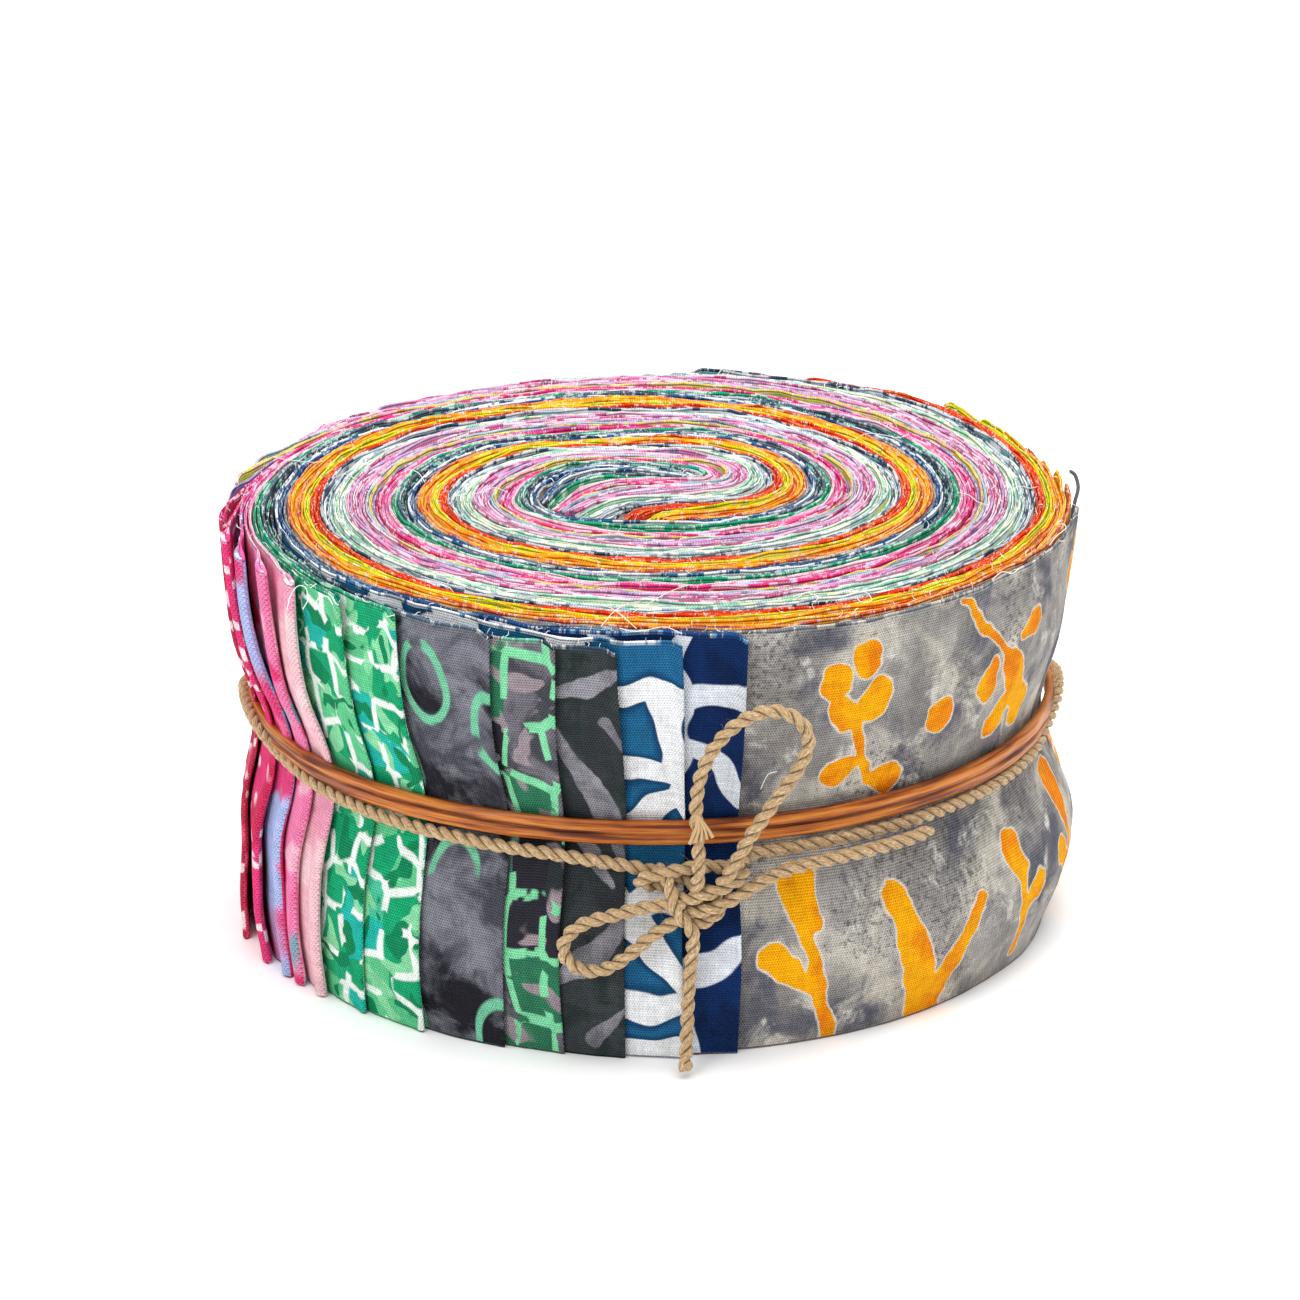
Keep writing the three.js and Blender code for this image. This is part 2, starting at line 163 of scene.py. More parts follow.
for ply in range(2):
    phase = add(laid_twine, "ShaderNodeMath", {0: turns, 1: 2 * math.pi, 2: ply * math.pi},
                operation="MULTIPLY_ADD")
    cosine = add(laid_twine, "ShaderNodeMath", {0: phase}, operation="COSINE")
    sine = add(laid_twine, "ShaderNodeMath", {0: phase}, operation="SINE")
    first = add(laid_twine, "ShaderNodeVectorMath", {0: normal, "Scale": cosine}, operation="SCALE")
    second = add(laid_twine, "ShaderNodeVectorMath", {0: sideways, "Scale": sine}, operation="SCALE")
    both = add(laid_twine, "ShaderNodeVectorMath", {0: first, 1: second}, operation="ADD")
    aside = add(laid_twine, "ShaderNodeVectorMath", {0: both, "Scale": given.outputs["Ply Offset"]},
                operation="SCALE")
    kept = add(laid_twine, "GeometryNodeCaptureAttribute", {"Geometry": route})
    kept.capture_items.new("FLOAT", "Distance")
    laid_twine.links.new(distance, kept.inputs["Distance"])
    moved = add(laid_twine, "GeometryNodeSetPosition",
                {"Geometry": kept.outputs["Geometry"], "Offset": aside})
    circle = add(laid_twine, "GeometryNodeCurvePrimitiveCircle",
                 {"Resolution": 10, "Radius": given.outputs["Ply Radius"]})
    round_share = add(laid_twine, "GeometryNodeSplineParameter").outputs["Factor"]
    section = add(laid_twine, "GeometryNodeCaptureAttribute", {"Geometry": circle})
    section.capture_items.new("FLOAT", "Round")
    laid_twine.links.new(round_share, section.inputs["Round"])
    skin = add(laid_twine, "GeometryNodeCurveToMesh",
               {"Curve": moved, "Profile Curve": section.outputs["Geometry"], "Fill Caps": True})
    angle = add(laid_twine, "ShaderNodeMath", {0: section.outputs["Round"], 1: 2 * math.pi},
                operation="MULTIPLY")
    across = add(laid_twine, "ShaderNodeMath", {0: angle}, operation="COSINE")
    over = add(laid_twine, "ShaderNodeMath", {0: angle}, operation="SINE")
    millimetres = add(laid_twine, "ShaderNodeMath", {0: kept.outputs["Distance"], 1: 1000.0, 2: 40.0 * ply},
                      operation="MULTIPLY_ADD")
    lie = add(laid_twine, "ShaderNodeCombineXYZ", {"X": across, "Y": over, "Z": millimetres})
    marked = add(laid_twine, "GeometryNodeStoreNamedAttribute",
                 {"Geometry": skin, "Name": "fibre", "Value": lie},
                 data_type="FLOAT_VECTOR", domain="POINT")
    laid_twine.links.new(marked.outputs[0], plies.inputs[0])
spots = add(laid_twine, "GeometryNodeDistributePointsOnFaces",
            {"Mesh": plies, "Density": given.outputs["Stray Fibres"], "Seed": 4})
spin = add(laid_twine, "FunctionNodeRandomValue", {0: (-1.3, -1.3, 0.0), 1: (1.3, 1.3, 6.28), "Seed": 5},
           data_type="FLOAT_VECTOR")
tilt = add(laid_twine, "FunctionNodeRotateRotation",
           {"Rotation": spots.outputs["Rotation"], "Rotate By": spin}, rotation_space="LOCAL")
reach = add(laid_twine, "FunctionNodeRandomValue", {2: 0.25, 3: 1.0, "Seed": 6}, data_type="FLOAT")
stray = add(laid_twine, "GeometryNodeObjectInfo", {"Object": stray_fibre})
strays = add(laid_twine, "GeometryNodeInstanceOnPoints",
             {"Points": spots, "Instance": stray.outputs["Geometry"],
              "Rotation": tilt, "Scale": reach.outputs[1]})
twine_all = add(laid_twine, "GeometryNodeJoinGeometry")
laid_twine.links.new(plies.outputs[0], twine_all.inputs[0])
laid_twine.links.new(strays.outputs[0], twine_all.inputs[0])
real = add(laid_twine, "GeometryNodeRealizeInstances", {"Geometry": twine_all})
smooth = add(laid_twine, "GeometryNodeSetShadeSmooth", {"Geometry": real})
painted = add(laid_twine, "GeometryNodeSetMaterial", {"Geometry": smooth, "Material": twine_material})
add(laid_twine, "NodeGroupOutput", {"Twine": painted})


def made_by(group, source, name, **values):
    """The plain mesh that a group of nodes makes of a source mesh, as an object at the origin."""
    carrier = bpy.data.objects.new(name + "_source", source)
    bpy.context.scene.collection.objects.link(carrier)
    modifier = carrier.modifiers.new("nodes", "NODES")
    modifier.node_group = group
    for item in group.interface.items_tree:
        if item.item_type == "SOCKET" and item.in_out == "INPUT" and item.name in values:
            modifier[item.identifier] = values[item.name]
    evaluated = carrier.evaluated_get(bpy.context.evaluated_depsgraph_get())
    mesh = bpy.data.meshes.new_from_object(evaluated)
    mesh.name = name
    bpy.data.objects.remove(carrier)
    piece = bpy.data.objects.new(name, mesh)
    bpy.context.scene.collection.objects.link(piece)
    return piece


def smooth_route(points, step=0.0008):
    """A smooth line of even steps through points given in millimetres, in metres."""
    points = np.array(points, float) / 1000
    knots = np.vstack([2 * points[0] - points[1], points, 2 * points[-1] - points[-2]])
    line = []
    for p0, p1, p2, p3 in zip(knots, knots[1:], knots[2:], knots[3:]):
        t = np.linspace(0, 1, 16, endpoint=False)[:, None]
        line.append(0.5 * (2 * p1 + (p2 - p0) * t + (2 * p0 - 5 * p1 + 4 * p2 - p3) * t**2
                           + (3 * p1 - p0 - 3 * p2 + p3) * t**3))
    line = np.vstack(line + [points[-1:]])
    run = np.concatenate([[0], np.cumsum(np.linalg.norm(np.diff(line, axis=0), axis=1))])
    even = np.linspace(0, run[-1], int(run[-1] / step) + 1)
    return np.column_stack([np.interp(even, run, line[:, k]) for k in range(3)])


def route_mesh(name, routes):
    mesh = bpy.data.meshes.new(name)
    points, edges = [], []
    for line in routes:
        edges += [(len(points) + i, len(points) + i + 1) for i in range(len(line) - 1)]
        points += [tuple(p) for p in line]
    mesh.from_pydata(points, edges, [])
    return mesh


WAIST_DEPTH_MM = 4.0
WAIST_HEIGHT_MM = 32.0
WAIST_REACH_MM = 12.0
ROLL_RADIUS_MM = 62.8
RING_OUT_MM = 1.55
RING_OVER_BAND_MM = 0.7
# The ring lies just under the rubber band: direction round the roll and height of its middle. Where it
# climbs over the band it stands a little further out.
RING_HEIGHTS = {"deg": [-76, -62, -30, -20, -12, -6, 0, 10, 22, 90, 150, 172, 184, 192, 198, 205, 215,
                        230, 243, 257, 264, 268.5, 271],
                "z": [29.7, 30.1, 30.3, 30.9, 32.8, 34.4, 34.6, 32.6, 30.2, 29.9, 30.1, 31.5, 34.2,
                      34.2, 33.6, 32.4, 31.2, 30.3, 30.1, 29.6, 28.9, 28.2, 27.6]}
ring_deg = np.arange(-77, 272, 3.0)
ring_z = np.interp(ring_deg, RING_HEIGHTS["deg"], RING_HEIGHTS["z"])
drawn_in = WAIST_DEPTH_MM * np.exp(-(((ring_z - WAIST_HEIGHT_MM) / WAIST_REACH_MM) ** 2))
ring_out = ROLL_RADIUS_MM - drawn_in + RING_OUT_MM
ring_out = ring_out + RING_OVER_BAND_MM * np.exp(-(((ring_z - 34.2) / 1.7) ** 2))
ring_way = np.radians(ring_deg)
ring_points = np.column_stack([ring_out * np.cos(ring_way), ring_out * np.sin(ring_way), ring_z])

# The middle lines of the ring, of the knot's four crossings, and of the loops and ends, each in millimetres.
TWINE_ROUTES = {
    "twine_ring": [ring_points],
    "twine_knot": [
        [(3.4, -61.2, 25.8), (0.2, -61.6, 26.0), (-1.7, -62.4, 27.0), (0.4, -63.0, 28.0), (3.2, -63.2, 28.8),
         (5.3, -63.1, 29.2), (7.4, -62.6, 29.3), (9.5, -61.8, 28.8), (11.4, -61.2, 28.8),
         (13.2, -60.6, 29.6)],
        [(3.4, -63.2, 24.7), (5.8, -64.6, 25.3), (8.5, -64.8, 26.3), (11.1, -64.2, 27.2), (12.8, -62.8, 28.0),
         (12.6, -61.2, 28.6)],
        [(4.6, -63.0, 21.2), (6.6, -63.4, 21.0), (8.6, -63.0, 21.6), (9.8, -62.2, 23.0)],
        [(3.6, -61.6, 27.6), (7.0, -62.2, 25.6), (9.6, -61.8, 24.6), (6.6, -61.9, 22.6)],
    ],
    "bow_loop_upper": [
        [(6.3, -64.2, 26.6), (6.5, -65.6, 28.6), (6.6, -65.9, 31.1), (6.5, -65.6, 34.0), (6.2, -65.4, 38.1),
         (6.3, -65.2, 40.8), (6.9, -65.0, 44.0), (8.4, -64.9, 47.4), (11.0, -64.8, 50.6), (13.6, -64.7, 52.3),
         (16.2, -64.6, 53.1), (19.1, -64.4, 52.4), (21.2, -64.2, 50.3), (21.5, -64.2, 47.6),
         (20.1, -64.4, 44.3),
         (17.8, -64.6, 41.0), (15.8, -64.8, 37.9), (14.0, -65.0, 35.2), (12.3, -65.2, 32.1),
         (11.0, -65.4, 29.6),
         (9.8, -64.8, 27.6)],
    ],
    "bow_loop_lower": [
        [(4.6, -64.6, 24.1), (1.4, -64.7, 24.3), (-0.6, -64.6, 23.9), (-2.8, -64.5, 23.4),
         (-4.8, -64.4, 22.7),
         (-7.4, -64.3, 22.0), (-9.8, -64.2, 21.0), (-11.5, -64.2, 19.5), (-12.3, -64.2, 17.5),
         (-11.5, -64.3, 15.5),
         (-9.6, -64.5, 14.4), (-7.4, -64.7, 14.3), (-5.3, -64.9, 15.2), (-3.4, -65.0, 16.6),
         (-1.4, -65.0, 18.4),
         (0.4, -65.0, 20.0), (2.6, -64.9, 21.4), (5.0, -64.6, 22.6)],
    ],
    "twine_end_front": [
        [(0.8, -61.4, 28.6), (2.0, -62.8, 27.8), (2.7, -64.4, 26.6), (3.0, -65.1, 24.8), (3.8, -65.2, 22.9),
         (5.2, -65.0, 21.2), (5.9, -65.0, 19.8), (5.7, -64.9, 17.0), (5.4, -64.9, 14.0), (5.2, -65.1, 11.0),
         (5.1, -65.5, 8.0), (5.0, -66.3, 5.0), (4.9, -67.6, 2.7), (4.8, -69.6, 1.5)],
    ],
    "twine_end_side": [
        [(4.4, -63.2, 22.8), (6.2, -64.2, 23.1), (8.5, -64.6, 23.7), (11.1, -64.2, 24.8), (13.6, -63.2, 26.0),
         (15.4, -62.4, 26.8), (17.0, -61.4, 27.3), (19.4, -60.5, 27.9), (22.6, -59.2, 28.3),
         (27.8, -56.9, 28.6),
         (32.2, -54.6, 28.8), (36.4, -52.0, 29.0), (39.4, -49.6, 29.3)],
    ],
}
CORD_ENDS = {"bow_loop_upper": "object", "bow_loop_lower": "object", "twine_end_front": "bare",
             "twine_end_side": "bare"}
for name, routes in TWINE_ROUTES.items():
    lines = [smooth_route(route) for route in routes]
    twine = made_by(laid_twine, route_mesh(name, lines), name)
    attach(twine, "root")
    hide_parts(name)
    if name in CORD_ENDS:
        line = lines[0]
        length = float(np.linalg.norm(np.diff(line, axis=0), axis=1).sum())


# Rubber band: one flat ring of amber rubber, stretched round the waist to hold the roll. The pull draws its
# face into cords with a deep crease along the middle.
def ripple(x, y, seed, size, parts=7):
    """Smooth seeded unevenness between about -1 and 1, its bumps as wide as size."""
    rng = np.random.default_rng(seed)
    total = 0
    for _ in range(parts):
        angle, phase, pace = rng.uniform(0, 2 * math.pi), rng.uniform(0, 2 * math.pi), rng.uniform(0.6, 1.5)
        total = total + np.sin((x * math.cos(angle) + y * math.sin(angle)) * pace * math.pi / size + phase)
    return total / math.sqrt(parts) / 1.2


def ring_mesh(name, points, uv, material):
    """A closed ring of quads over rows of points, each row closed too, with a flat UV per corner."""
    rows, columns = points.shape[:2]
    i, j = np.meshgrid(np.arange(rows), np.arange(columns), indexing="ij")
    i2, j2 = (i + 1) % rows, (j + 1) % columns
    quads = np.stack([i * columns + j, i2 * columns + j, i2 * columns + j2, i * columns + j2], -1)
    mesh = bpy.data.meshes.new(name)
    mesh.from_pydata(points.reshape(-1, 3).tolist(), [], quads.reshape(-1, 4).tolist())
    layer = mesh.uv_layers.new(name="cloth")
    layer.data.foreach_set("uv", uv(i, j).reshape(-1, 8).astype(np.float32).ravel())
    mesh.materials.append(material)
    mesh.polygons.foreach_set("use_smooth", [True] * len(mesh.polygons))
    return mesh


# Natural rubber: amber brown and a little glossy. Painted shade from an occlusion pass darkens the creases,
# so the crests stand lighter.
rubber_material, tree = new_material("amber rubber")
place = add(tree, "ShaderNodeUVMap", uv_map="cloth")
drawn = add(tree, "ShaderNodeMapping", {"Vector": place, "Scale": (0.05, 1.1, 1.0)})
grain = add(tree, "ShaderNodeTexNoise", {"Vector": drawn, "Scale": 1.0, "Detail": 6.0, "Roughness": 0.6},
            noise_dimensions="2D")
amber = add(tree, "ShaderNodeValToRGB", {"Fac": grain.outputs["Fac"]})
amber.color_ramp.elements[0].position = 0.37
amber.color_ramp.elements[0].color = linear("#5c2100")
amber.color_ramp.elements[1].position = 0.66
amber.color_ramp.elements[1].color = linear("#d08236")
middle_tone = amber.color_ramp.elements.new(0.5)
middle_tone.color = linear("#a8550c")
# Painted shade: an occlusion pass darkens the amber in the creases between the cords.
crease_occlusion_shade = add(tree, "ShaderNodeAmbientOcclusion", {"Distance": 0.0010}, samples=8, only_local=True)
painted_crease_shade = add(tree, "ShaderNodeMapRange", {0: crease_occlusion_shade.outputs["AO"], 1: 0.35, 2: 0.9, 3: 0.25, 4: 1.0})
crease_shaded_amber = add(tree, "ShaderNodeVectorMath", {0: amber, "Scale": painted_crease_shade}, operation="SCALE")
grain_bump = add(tree, "ShaderNodeBump",
                 {"Height": grain.outputs["Fac"], "Strength": 0.35, "Distance": 0.0002})
amber_surface = add(tree, "ShaderNodeBsdfPrincipled",
                    {"Base Color": crease_shaded_amber, "Roughness": 0.34, "Normal": grain_bump,
                     "Coat Weight": 0.12, "Coat Roughness": 0.2, "Specular IOR Level": 0.3})
add(tree, "ShaderNodeOutputMaterial", {"Surface": amber_surface})

BAND_HEIGHT_MM = 33.35
BAND_INNER_MM = 59.45
BAND_HALF_MM = 1.78
BAND_STEPS = 720
BAND_AROUND_MM = 376.0
BAND_CELL_MM = 0.17
turn = np.linspace(0, 2 * math.pi, BAND_STEPS, endpoint=False)
T, V = np.meshgrid(turn, np.linspace(-1, 1, 25), indexing="ij")
arc = T * 60
groove_at = 0.08 + 0.16 * ripple(arc, 0, 11, 40)
second_at = -0.55 + 0.1 * ripple(arc, 0, 12, 30)
face_out = 1.55 - 0.5 * np.abs(V) ** 3
face_out = face_out - 0.55 * np.exp(-(((V - groove_at) / 0.12) ** 2)) * (0.75 + 0.35 * ripple(arc, 0, 13, 25))
face_out = face_out - 0.22 * np.exp(-(((V - second_at) / 0.1) ** 2)) * np.clip(ripple(arc, 0, 14, 30), 0, 1)
face_out = face_out + 0.07 * ripple(arc * 0.25, V * 3.0, 15, 1.0)
band_z = BAND_HEIGHT_MM + V * (BAND_HALF_MM + 0.06 * ripple(arc, 0, 16, 15))
front = np.stack([(BAND_INNER_MM + face_out) * np.cos(T), (BAND_INNER_MM + face_out) * np.sin(T), band_z], -1)
T, V = np.meshgrid(turn, np.array([0.9, 0.3, -0.3, -0.9]), indexing="ij")
back = np.stack([BAND_INNER_MM * np.cos(T), BAND_INNER_MM * np.sin(T), BAND_HEIGHT_MM + V * BAND_HALF_MM], -1)
band_points = np.concatenate([front, back], 1) / 1000


def band_uv(i, j):
    corners = [(i, j), (i + 1, j), (i + 1, j + 1), (i, j + 1)]
    return np.stack([np.stack([a * BAND_AROUND_MM / BAND_STEPS, b * BAND_CELL_MM], -1) for a, b in corners],
                    -2)


band_mesh = ring_mesh("rubber_band_ring", band_points, band_uv, rubber_material)
band = bpy.data.objects.new("rubber_band_ring", band_mesh)
bpy.context.scene.collection.objects.link(band)
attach(band, "root")
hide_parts("rubber_band")


# Printed cotton: plain-woven quilting cloth, dyed and printed. Each cloth is a ground colour with printed
# shapes over it, in millimetres along and across the strip. The weave shows as staggered rows of thread
# crossings painted lighter, with painted shade between them, and the cut edges on top are paler than the
# print.
# It has about 66 threads to the inch.
THREAD_MM = 0.385

weave, given = group_of("plain weave", "ShaderNodeTree", {"Cloth": "Vector"},
                        {"Height": "Float", "Slub": "Float"})
parts = add(weave, "ShaderNodeSeparateXYZ", {0: given})
waves = []
for axis, pitch in (("X", THREAD_MM), ("Y", 2 * THREAD_MM), ("Y", THREAD_MM)):
    phase = add(weave, "ShaderNodeMath", {0: parts.outputs[axis], 1: 2 * math.pi / pitch},
                operation="MULTIPLY")
    waves.append(add(weave, "ShaderNodeMath", {0: phase}, operation="SINE"))
crossing = add(weave, "ShaderNodeMath", {0: waves[0], 1: waves[1]}, operation="MULTIPLY")
rows = add(weave, "ShaderNodeMath", {0: waves[2], 1: 0.30, 2: 0.5}, operation="MULTIPLY_ADD")
height = add(weave, "ShaderNodeMath", {0: crossing, 1: 0.5, 2: rows}, operation="MULTIPLY_ADD")
slubs = []
for stretch in ((2.6, 0.22, 1.0), (0.22, 2.6, 1.0)):
    drawn = add(weave, "ShaderNodeMapping", {"Vector": given, "Scale": stretch})
    slubs.append(add(weave, "ShaderNodeTexNoise", {"Vector": drawn, "Scale": 1.0, "Detail": 1.0},
                     noise_dimensions="2D"))
slub = add(weave, "ShaderNodeMath", {0: slubs[0], 1: slubs[1]}, operation="ADD")
slub = add(weave, "ShaderNodeMath", {0: slub, 1: 0.5}, operation="MULTIPLY")
add(weave, "NodeGroupOutput", {"Height": height, "Slub": slub})

# The distance from a point of the cloth to a stroke with round ends, thicker at one end than at the other.
stroke, given = group_of("printed stroke", "ShaderNodeTree",
                         {"Cloth": "Vector", "Start": "Vector", "Run": "Vector", "Share": "Float",
                          "Half Width": "Float", "Widening": "Float"}, {"Distance": "Float"})
from_start = add(stroke, "ShaderNodeVectorMath", {0: given.outputs["Cloth"], 1: given.outputs["Start"]},
                 operation="SUBTRACT")
reached = add(stroke, "ShaderNodeVectorMath", {0: from_start, 1: given.outputs["Run"]},
              operation="DOT_PRODUCT").outputs["Value"]
share = add(stroke, "ShaderNodeMath", {0: reached, 1: given.outputs["Share"]}, operation="MULTIPLY",
            use_clamp=True)
nearest = add(stroke, "ShaderNodeVectorMath", {0: given.outputs["Run"], "Scale": share}, operation="SCALE")
off = add(stroke, "ShaderNodeVectorMath", {0: from_start, 1: nearest}, operation="SUBTRACT")
away = add(stroke, "ShaderNodeVectorMath", {0: off}, operation="LENGTH").outputs["Value"]
half = add(stroke, "ShaderNodeMath",
           {0: share, 1: given.outputs["Widening"], 2: given.outputs["Half Width"]}, operation="MULTIPLY_ADD")
apart = add(stroke, "ShaderNodeMath", {0: away, 1: half}, operation="SUBTRACT")
add(stroke, "NodeGroupOutput", {"Distance": apart})


def flat_noise(tree, place, size, detail=2.0, rough=0.5, stretch=1.0, turn=0.0, move=0.0):
    """Soft noise over the cloth, its patches size millimetres wide, as a value about 0.5."""
    laid = add(tree, "ShaderNodeMapping", {"Vector": place, "Location": (13.7 * move, 7.1 * move, 0.0),
                                           "Rotation": (0.0, 0.0, math.radians(turn)),
                                           "Scale": (1 / size, 1 / (size * stretch), 1.0)})
    return add(tree, "ShaderNodeTexNoise",
               {"Vector": laid, "Scale": 1.0, "Detail": detail, "Roughness": rough},
               noise_dimensions="2D")


def cells(tree, place, row, feature, output):
    """Cells over the cloth, for nets, pebbles, leaves and rings."""
    size = row["size"]
    laid = add(tree, "ShaderNodeMapping", {"Vector": place, "Location": (13.7, 7.1, 0.0),
                                           "Rotation": (0.0, 0.0, math.radians(row.get("turn", 0.0))),
                                           "Scale": (1 / size, 1 / (size * row.get("stretch", 1.0)), 1.0)})
    return add(tree, "ShaderNodeTexVoronoi",
               {"Vector": laid, "Scale": 1.0, "Randomness": row.get("random", 0.85)},
               voronoi_dimensions="2D", feature=feature).outputs[output]


def printed_cotton(name, ground, shapes, cut_edge, tone=0.14, sprigs=None):
    """Cotton with a ground and rows of printed shapes. cut_edge gives the three colours of its top edges."""
    material, tree = new_material(name)
    place = add(tree, "ShaderNodeUVMap", uv_map="cloth")
    drift = add(tree, "ShaderNodeVectorMath",
                {0: flat_noise(tree, place, 9.0, 0.6).outputs["Color"], 1: (0.5, 0.5, 0.5)},
                operation="SUBTRACT")
    colour = linear(ground)
    # One printed shape over the other, each a mask cut out of noise or cells at its level.
    for number, row in enumerate(shapes):
        kind, level, soft = row["kind"], row["level"], row["soft"]
        bent = add(tree, "ShaderNodeVectorMath", {0: drift, "Scale": row.get("bend", 6.5)}, operation="SCALE")
        drawn = add(tree, "ShaderNodeVectorMath", {0: place, 1: bent}, operation="ADD")
        more = kind in ("blot", "cloud", "pebble", "cell")
        if kind in ("blot", "cloud"):
            detail, rough = (1.2, 0.45) if kind == "blot" else (6.0, 0.62)
            value = flat_noise(tree, drawn, row["size"], detail, rough, row.get("stretch", 1.0),
                               row.get("turn", 0.0), number + 1)
        elif kind in ("net", "pebble"):
            value = cells(tree, drawn, row, "DISTANCE_TO_EDGE", "Distance")
        elif kind == "cell":
            tint = cells(tree, drawn, row, "F1", "Color")
            value = add(tree, "ShaderNodeSeparateXYZ", {0: tint})
        else:
            value = cells(tree, drawn, row, "F1", "Distance")
        if kind == "ring":
            value = add(tree, "ShaderNodeMath", {0: value, 1: row["radius"]}, operation="SUBTRACT")
            value = add(tree, "ShaderNodeMath", {0: value}, operation="ABSOLUTE")
        mask = add(tree, "ShaderNodeMapRange",
                   {0: value, 1: level - soft, 2: level + soft, 3: 1.0 - more, 4: float(more)},
                   interpolation_type="SMOOTHSTEP")
        if "broken" in row:
            gaps = add(tree, "ShaderNodeMapRange",
                       {0: flat_noise(tree, place, row["size"] * 0.9, move=number + 9),
                        1: row["broken"] - 0.02, 2: row["broken"] + 0.02}, interpolation_type="SMOOTHSTEP")
            mask = add(tree, "ShaderNodeMath", {0: mask, 1: gaps}, operation="MULTIPLY")
        colour = mixed(tree, mask.outputs[0], colour, linear(row["colour"]))
    if sprigs:
        colour = sprigs(tree, place, colour)
    # The cut edges on top show yarn ends: runs of the cloth's two main colours, dark ones and paler flecks.
    parts = add(tree, "ShaderNodeSeparateXYZ", {0: place})
    runs = add(tree, "ShaderNodeMapRange",
               {0: flat_noise(tree, place, 4.5, 2.0, 0.6, 20.0), 1: 0.53, 2: 0.57},
               interpolation_type="SMOOTHSTEP")
    edge = mixed(tree, runs.outputs[0], linear(cut_edge[0]), linear(cut_edge[1]))
    dark_runs = add(tree, "ShaderNodeMapRange",
                    {0: flat_noise(tree, place, 3.2, 2.0, 0.6, 20.0, move=4), 1: 0.60, 2: 0.64, 3: 0.0,
                     4: 0.62})
    edge = mixed(tree, dark_runs.outputs[0], edge, linear(cut_edge[2]))
    flecks = add(tree, "ShaderNodeMapRange",
                 {0: flat_noise(tree, place, 1.1, 4.0, 0.8, 20.0, move=7), 1: 0.56, 2: 0.64, 3: 0.0, 4: 0.6})
    edge = mixed(tree, flecks.outputs[0], edge, linear("#f6f0ea"))
    at_edge = add(tree, "ShaderNodeMapRange", {0: parts.outputs["Y"], 1: 62.85, 2: 63.05, 3: 0.0, 4: 1.0})
    colour = mixed(tree, at_edge.outputs[0], colour, edge)
    # Painted shade and light on the cut edges: a thin dark line in the groove just under the top of each
    # doubled strip, and the crests beside it painted a little lighter.
    below = add(tree, "ShaderNodeMath", {0: parts.outputs["Y"], 1: 63.14}, operation="SUBTRACT")
    below = add(tree, "ShaderNodeMath", {0: below}, operation="ABSOLUTE")
    groove_painted_shade = add(tree, "ShaderNodeMapRange", {0: below, 1: 0.03, 2: 0.24, 3: 0.42, 4: 1.22},
                    interpolation_type="SMOOTHSTEP")
    threads = add(tree, "ShaderNodeGroup", {"Cloth": place}, node_tree=weave)
    dye_tone = add(tree, "ShaderNodeMapRange",
                   {0: flat_noise(tree, place, 2.4, 6.0, 0.66), 1: 0.3, 2: 0.7, 3: 1.0 - tone, 4: 1.0
                    + tone * 0.7})
    # Painted light and shade of the weave: the raised thread crossings are painted lighter and the hollows
    # between them darker.
    weave_painted_light = add(tree, "ShaderNodeMapRange",
                      {0: threads.outputs["Height"], 1: 0.0, 2: 0.95, 3: 0.46, 4: 1.46})
    slub_tone = add(tree, "ShaderNodeMapRange",
                    {0: threads.outputs["Slub"], 1: 0.3, 2: 0.7, 3: 0.88, 4: 1.12})
    # The painted light and shade of the weave shows less on light cloth than on dark cloth, and least on the
    # cut edges.
    edge_painted_light_and_shade = mixed(tree, at_edge.outputs[0], (1.0, 1.0, 1.0, 1.0), groove_painted_shade.outputs[0])
    light = add(tree, "ShaderNodeRGBToBW", {"Color": colour})
    clear = add(tree, "ShaderNodeMapRange", {0: light, 1: 0.05, 2: 0.75, 3: 1.0, 4: 0.38})
    clear = add(tree, "ShaderNodeMath",
                {0: clear, 1: add(tree, "ShaderNodeMapRange", {0: at_edge, 3: 1.0, 4: 0.55})},
                operation="MULTIPLY")
    weave_painted_light = add(tree, "ShaderNodeMath", {0: weave_painted_light, 1: 1.0}, operation="SUBTRACT")
    weave_painted_light = add(tree, "ShaderNodeMath", {0: weave_painted_light, 1: clear, 2: 1.0}, operation="MULTIPLY_ADD")
    tones = add(tree, "ShaderNodeMath", {0: dye_tone, 1: weave_painted_light}, operation="MULTIPLY")
    tones = add(tree, "ShaderNodeMath", {0: tones, 1: slub_tone}, operation="MULTIPLY")
    tones = add(tree, "ShaderNodeMath", {0: tones, 1: edge_painted_light_and_shade}, operation="MULTIPLY")
    toned = add(tree, "ShaderNodeVectorMath", {0: colour, "Scale": tones}, operation="SCALE")
    raised = add(tree, "ShaderNodeBump",
                 {"Height": threads.outputs["Height"], "Strength": 0.9, "Distance": 0.00012})
    surface = add(tree, "ShaderNodeBsdfPrincipled", {"Base Color": toned, "Roughness": 0.92, "Normal": raised,
                                                     "Specular IOR Level": 0.15})
    add(tree, "ShaderNodeOutputMaterial", {"Surface": surface})
    return material


